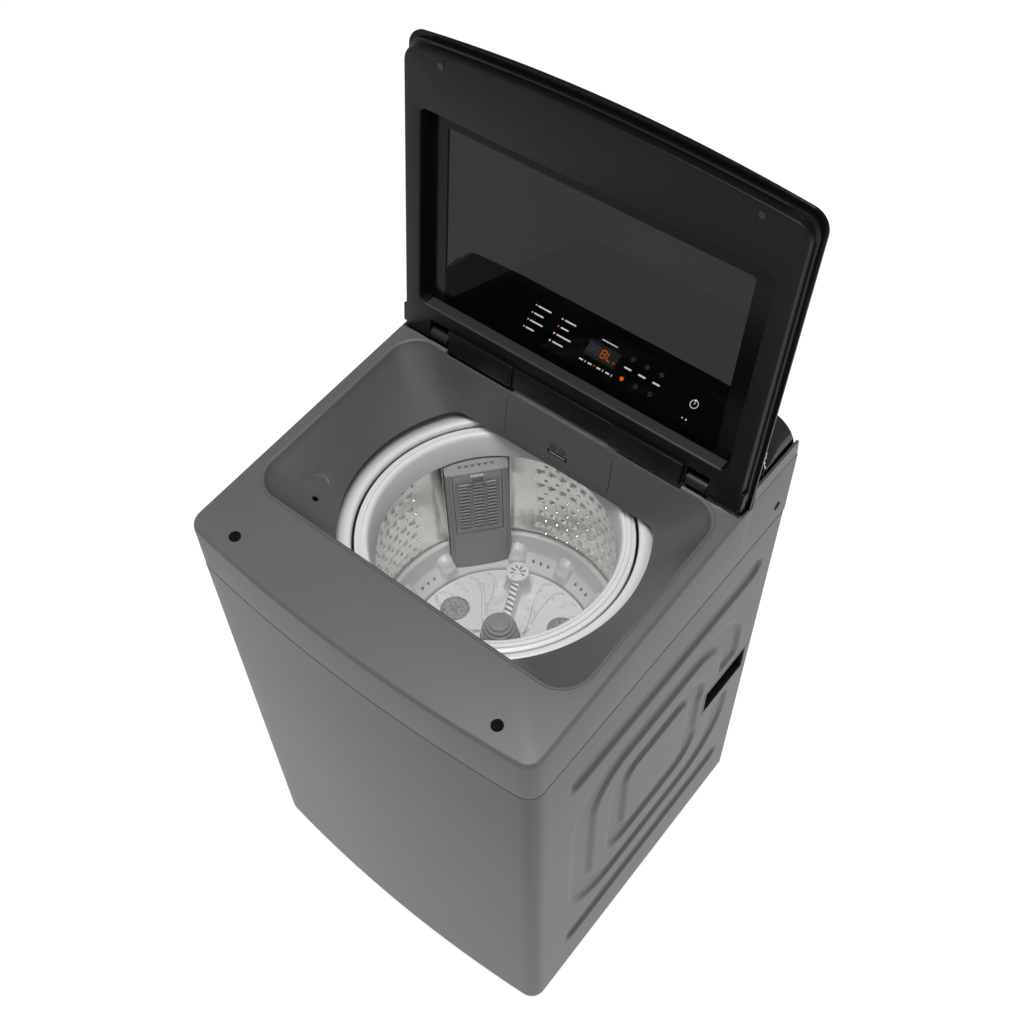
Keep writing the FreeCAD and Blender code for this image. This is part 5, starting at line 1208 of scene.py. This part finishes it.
cap_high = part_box("pulsator_cap")[1]
cap_reach = cap_high.x
cap_profile = [(0.0, 0.5355), (0.0244, 0.5355), (0.0244, 0.5223), (cap_reach - 0.0006, 0.5223)]
cap_profile += [(cap_reach, 0.5235), (cap_reach, 0.5320), (cap_reach - 0.0008, 0.5345),
                (cap_reach - 0.0022, 0.5360)]
dome_reach, dome_foot = cap_reach - 0.0026, 0.5370
step_reach, step_height = dome_reach, dome_foot
for step in range(6):
    next_reach = dome_reach * math.cos(math.radians(14 * (step + 1)))
    next_height = dome_foot + (cap_high.z - dome_foot) * math.sin(math.radians(15 * (step + 1)))
    cap_profile += [(step_reach, step_height), (step_reach - 0.0006, next_height - 0.0010),
                    (step_reach - 0.0018, next_height)]
    step_reach, step_height = next_reach, next_height
cap_profile += [(step_reach, step_height), (0.0, step_height)]
cap_teeth = range(4, 7)
cap_dome = lathe("pulsator_cap_stepped", cap_profile, 96, along=False,
                 ripple=lambda place, turn, step: -0.0018 if place in cap_teeth and step % 4 > 1 else 0)
cap_grey = moulded("grey_cap_abs", "#8E8F91", 0.28, bump=0.03)
complete(cap_dome, cap_grey, "agitator", "pulsator_cap", slot="grey_plastic", sharp=32)


# ---- Detergent drawer --------------------------------------------------------------------------------
# An ABS drawer moulded in the cover's colour. Its front follows the recess wall and carries a small
# printed sticker: two round pictograms over a black bar.

titanium_drawer = frame["nodes"]["detergent_drawer"]
titanium_drawer.data.materials.clear()
titanium_drawer.data.materials.append(titanium_abs)
front_lean = math.atan2(0.0075, 0.060)


def on_drawer(piece, x, z):
    """Lays a flat mark, drawn on XZ about the origin, on the drawer's sloping front."""
    for point in piece.data.vertices:
        across, off, rise = point.co
        height = z + rise * math.cos(front_lean)
        point.co = (x + across, 0.1318 + (height - 0.842) * 0.1275 - 0.0002 + off, height)
    return piece


def washer(name, inner, outer, thick, points=24):
    """A flat ring on the XZ plane, facing forward."""
    rings = [[Vector((reach * math.cos(2 * math.pi * step / points), depth,
                      reach * math.sin(2 * math.pi * step / points))) for step in range(points)]
             for reach, depth in ((outer, 0.0), (outer, -thick), (inner, -thick), (inner, 0.0))]
    return outward(skin(name, rings, along=True), joint_gap)


sticker = on_drawer(block("drawer_sticker_bar", (-0.0175, -0.0003, -0.0036), (0.0175, 0.0001, 0.0036),
                          0.0001, 1), 0.0065, 0.8545)
for x in (-0.0015, 0.0145):
    gather(sticker, on_drawer(washer("pictogram_ring", 0.0042, 0.0053, 0.0003), x, 0.8655))
gather(sticker, on_drawer(block("pictogram_bar", (-0.0022, -0.0003, -0.0006), (0.0022, 0.0001, 0.0006),
                                0.0001, 1), -0.0015, 0.8655),
       on_drawer(block("pictogram_dot", (-0.0012, -0.0003, -0.0012), (0.0012, 0.0001, 0.0012), 0.0003, 1),
                 0.0145, 0.8655))
ink = moulded("black_screen_ink", "#0A0A0A", 0.5, bump=0.0)
complete(sticker, ink, "drawer", slot="black_plastic")
sticker_line = on_drawer(block("drawer_sticker_line", (-0.0135, -0.0005, -0.0005), (0.0135, -0.0002, 0.0005),
                               0.0001, 1), 0.0065, 0.8545)
pale_ink = moulded("pale_screen_ink", "#BDBEBF", 0.5, bump=0.0)
complete(sticker_line, pale_ink, "drawer", slot="white_plastic")


# ---- Control panel marks -----------------------------------------------------------------------------
# Marks printed on the back of the gloss panel and lit by diodes: two lists of short bars for the
# programmes, a number display, three columns of step signs, and a ring with a bar for power.

def on_hood(piece, x, up):
    """Lays a mark, drawn on XY about the origin, on the hood's sloped face, up from its lip."""
    slope = math.atan2(shoulder_z - hood_lip, shoulder_y - hood_face_front - 0.0012)
    for point in piece.data.vertices:
        across, along_face, off = point.co
        run = up + along_face
        point.co = (x + across, hood_face_front + 0.0012 + run * math.cos(slope) - off * math.sin(slope),
                    hood_lip + run * math.sin(slope) + off * math.cos(slope))
    return piece


def bar(x, up, wide, tall):
    """A flat bar on the panel."""
    return on_hood(block("mark", (-wide / 2, -tall / 2, -0.0002), (wide / 2, tall / 2, 0.0002), 0.0001, 1),
                   x, up)


def hoop(x, up, radius, line, points=20):
    """A flat ring on the panel."""
    made = washer("mark_hoop", radius - line, radius, 0.0004, points)
    for point in made.data.vertices:
        point.co = (point.co.x, point.co.z, -point.co.y - 0.0002)
    return on_hood(made, x, up)


def digit(x, up, lit):
    """A seven-segment number; lit names the segments that shine."""
    places = {"a": (0, 0.0056, 0), "g": (0, 0, 0), "d": (0, -0.0056, 0), "f": (-0.0034, 0.0028, 1),
              "b": (0.0034, 0.0028, 1), "e": (-0.0034, -0.0028, 1), "c": (0.0034, -0.0028, 1)}
    return [bar(x + across, up + rise, 0.0012 if standing else 0.0052, 0.0046 if standing else 0.0012)
            for key, (across, rise, standing) in places.items() if key in lit]


white_marks, orange_marks, dim_marks_painted_glow = [], [], []
word_widths = ((0.023, 0.019), (0.016, 0.013), (0.022, 0.024), (0.014, 0.018))
for row, (left_bar, right_bar) in enumerate(word_widths):
    up = 0.079 - 0.0115 * row
    white_marks += [bar(-0.104 - (0.025 - left_bar) / 2, up, left_bar, 0.0021),
                    hoop(-0.120, up, 0.0011, 0.0010, 8)]
    white_marks += [bar(-0.055 - (0.028 - right_bar) / 2, up, right_bar, 0.0021)]
    (orange_marks if row == 1 else white_marks).append(hoop(-0.0735, up, 0.0014, 0.0013, 8))
white_marks.append(bar(0.008, 0.0805, 0.026, 0.0014))
# The unlit segments and signs glow too. This is a painted glow that stands in for the light their grey print
# catches.
dim_marks_painted_glow += digit(-0.013, 0.063, "abcdefg") + digit(-0.003, 0.063, "abcdefg")
orange_marks += digit(0.008, 0.063, "abcdefg") + digit(0.0185, 0.063, "fed")
red_mark = hoop(0.0275, 0.0585, 0.0019, 0.0018, 12)
for place, x in enumerate((-0.0175, -0.0025, 0.0125, 0.0275)):
    white_marks.append(bar(x, 0.0425, 0.0062, 0.0022))
    (orange_marks if place == 1 else white_marks).append(bar(x + 0.0072, 0.0425, 0.0012, 0.0030))
for place, x in enumerate((0.050, 0.0735, 0.097)):
    white_marks.append(bar(x, 0.0615, 0.0115, 0.0024))
    dim_marks_painted_glow += [hoop(x, 0.0760, 0.0030, 0.0008), bar(x, 0.0760, 0.0026, 0.0008)]
    (orange_marks if place == 0 else dim_marks_painted_glow).append(hoop(x, 0.0455, 0.0030,
                                                            0.0024 if place == 0 else 0.0009))
white_marks += [hoop(0.158, 0.0625, 0.0062, 0.0010, 24), bar(0.158, 0.0655, 0.0011, 0.0066)]
white_marks += [bar(0.1535, 0.039, 0.0022, 0.0016), hoop(0.1595, 0.039, 0.0013, 0.0009, 8)]


def lamp_and_painted_glow_ink(name, colour, strength):
    """Marks that glow, set bright because the raised lid's smoked glass stands before them. For the diodes
    and backlit print this is their own light. For the unlit segments and the display glass it is a painted
    glow.
    """
    made, tree, shader = blank(name)
    tone = blend(tree, noise(tree, place_of(tree), 160.0, 2.0), *tones(colour, 1, 0.7))
    plug(tree, shader, {"Emission Color": tone, "Base Color": tone, "Emission Strength": strength,
                        "Roughness": 0.5})
    return made


for name, marks, paint in (("panel_marks_white", white_marks, lamp_and_painted_glow_ink("white_backlit_ink", "#FFFFFF", 19.0)),
                           ("panel_marks_orange", orange_marks, lamp_and_painted_glow_ink("orange_diode", "#FF7A10", 20.0)),
                           ("panel_marks_dim_painted_glow", dim_marks_painted_glow, lamp_and_painted_glow_ink("unlit_segment_painted_glow", "#77787A", 9.0)),
                           ("panel_mark_red", [red_mark], lamp_and_painted_glow_ink("red_diode", "#FF2A1E", 16.0))):
    marks[0].name = name
    complete(gather(*marks) if len(marks) > 1 else marks[0], paint, "cabinet", slot="white_plastic")
# The display's glass glows grey although no lamp lights it. This is a painted glow.
display_glass = on_hood(block("display_glass", (-0.0200, 0.0510, -0.0001),
                              (0.0320, 0.0740, 0.0001), 0.00005, 1), 0.0, 0.0)
display_painted_glow = lamp_and_painted_glow_ink("grey_display_glass_painted_glow", "#3A3B3E", 9.0)
complete(display_glass, display_painted_glow, "cabinet", slot="gloss_black")


# ---- Side handle cups --------------------------------------------------------------------------------
# Black polypropylene cups clipped through the side sheets, with slats at the back of the pocket.

black_pp = moulded("black_polypropylene", "#0B0B0C", 0.42, bump=0.06)
slats = []
for side in (-1, 1):
    for step in range(4):
        height = cup_low.z + 0.0135 + 0.0125 * step
        span = aside(side, 0.2645, 0.2800)
        slats.append(block("handle_cup_slats", (span[0], cup_low.y + 0.010, height - 0.0012),
                           (span[1], cup_high.y - 0.010, height + 0.0012), 0.0006, 1))
# The slats are painted a lighter grey than the cup's black polypropylene. This is a painted highlight for the
# light the slats catch in the pocket.
slat_painted_light_pp = moulded("black_polypropylene_painted_light", "#2A2B2C", 0.36, bump=0.06)
complete(gather(*slats), slat_painted_light_pp, "cabinet", slot="black_plastic")


# ---- Pieces that keep their CAD shape ----------------------------------------------------------------
# Sheet, castings, turned shafts, rubber and small mouldings that are hidden or plain: each takes the
# finish of its real stock.

def spangled(name, colour, spangle_mm):
    """Hot-dip galvanised sheet: crystals of slightly different grey and gloss."""
    made, tree, shader = blank(name)
    crystal = add(tree, "ShaderNodeTexVoronoi", {"Vector": place_of(tree), "Scale": 1000 / spangle_mm})
    shade = add(tree, "ShaderNodeSeparateColor", {"Color": crystal.outputs["Color"]})
    plug(tree, shader, {
        "Base Color": blend(tree, shade.outputs["Red"], *tones(colour, 0.78, 1.12)),
        "Roughness": remap(tree, shade.outputs["Green"], 0.34, 0.52), "Metallic": 1.0})
    return made


rubber = moulded("black_epdm_rubber", "#050505", 0.80, bump=0.12, shine=0.12)
galvanised = spangled("galvanised_sheet", "#A9ABAD", 9.0)
zinc = polished("zinc_plated_steel", "#B5B7BA", 0.34, 2.0, 0.05, (1, 1, 4))
cast = moulded("cast_aluminium", "#9A9C9E", 0.48, grain_mm=1.2, bump=0.3, metal=1.0)
turned_steel = polished("ground_steel", "#BCBEC2", 0.18, 0.6, 0.02, (1, 1, 20))
motor_enamel = enamel("black_motor_enamel", "#161617", 0.0, 0.45)
board_resin = moulded("green_board_resin", "#1E4A2C", 0.4, bump=0.05)
tempered = polished("oiled_spring_steel", "#6B6D70", 0.30, 1.0, 0.03, (1, 1, 3))
for paint, names in (
        (rubber, ("lid_buffers", "side_plugs", "fixed_foot_pads", "tub_shaft_seal", "level_tube",
                  "drive_belt")),
        (galvanised, ("rear_panel", "corner_brackets", "drive_plate")),
        (zinc, ("rear_panel_screws", "levelling_nut", "pulsator_screw", "suspension_rods", "hinge_pins")),
        (black_pp, ("side_handle_cups", "base_frame", "drain_valve", "gearbox_pulley", "motor_pulley",
                    "cord_gland", "drain_spigot", "drain_hose", "levelling_foot", "hinge_brackets",
                    "lid_screw_caps")),
        (white_pp, ("drawer_housing", "outer_tub", "inlet_valve", "fill_pipe", "level_sensor",
                    "rod_top_caps", "spring_cups")),
        (cast, ("drum_hub_and_spin_tube", "gearbox_case")),
        (turned_steel, ("spin_bearings", "pulsator_shaft", "gearbox_input_shaft", "motor_shaft")),
        (motor_enamel, ("motor",)), (board_resin, ("control_board",)), (gloss_black, ("display_module",)),
        (tempered, ("suspension_springs",)), (titanium_abs, ("console_base",))):
    for node_name in names:
        frame["nodes"][node_name].data.materials.clear()
        frame["nodes"][node_name].data.materials.append(paint)
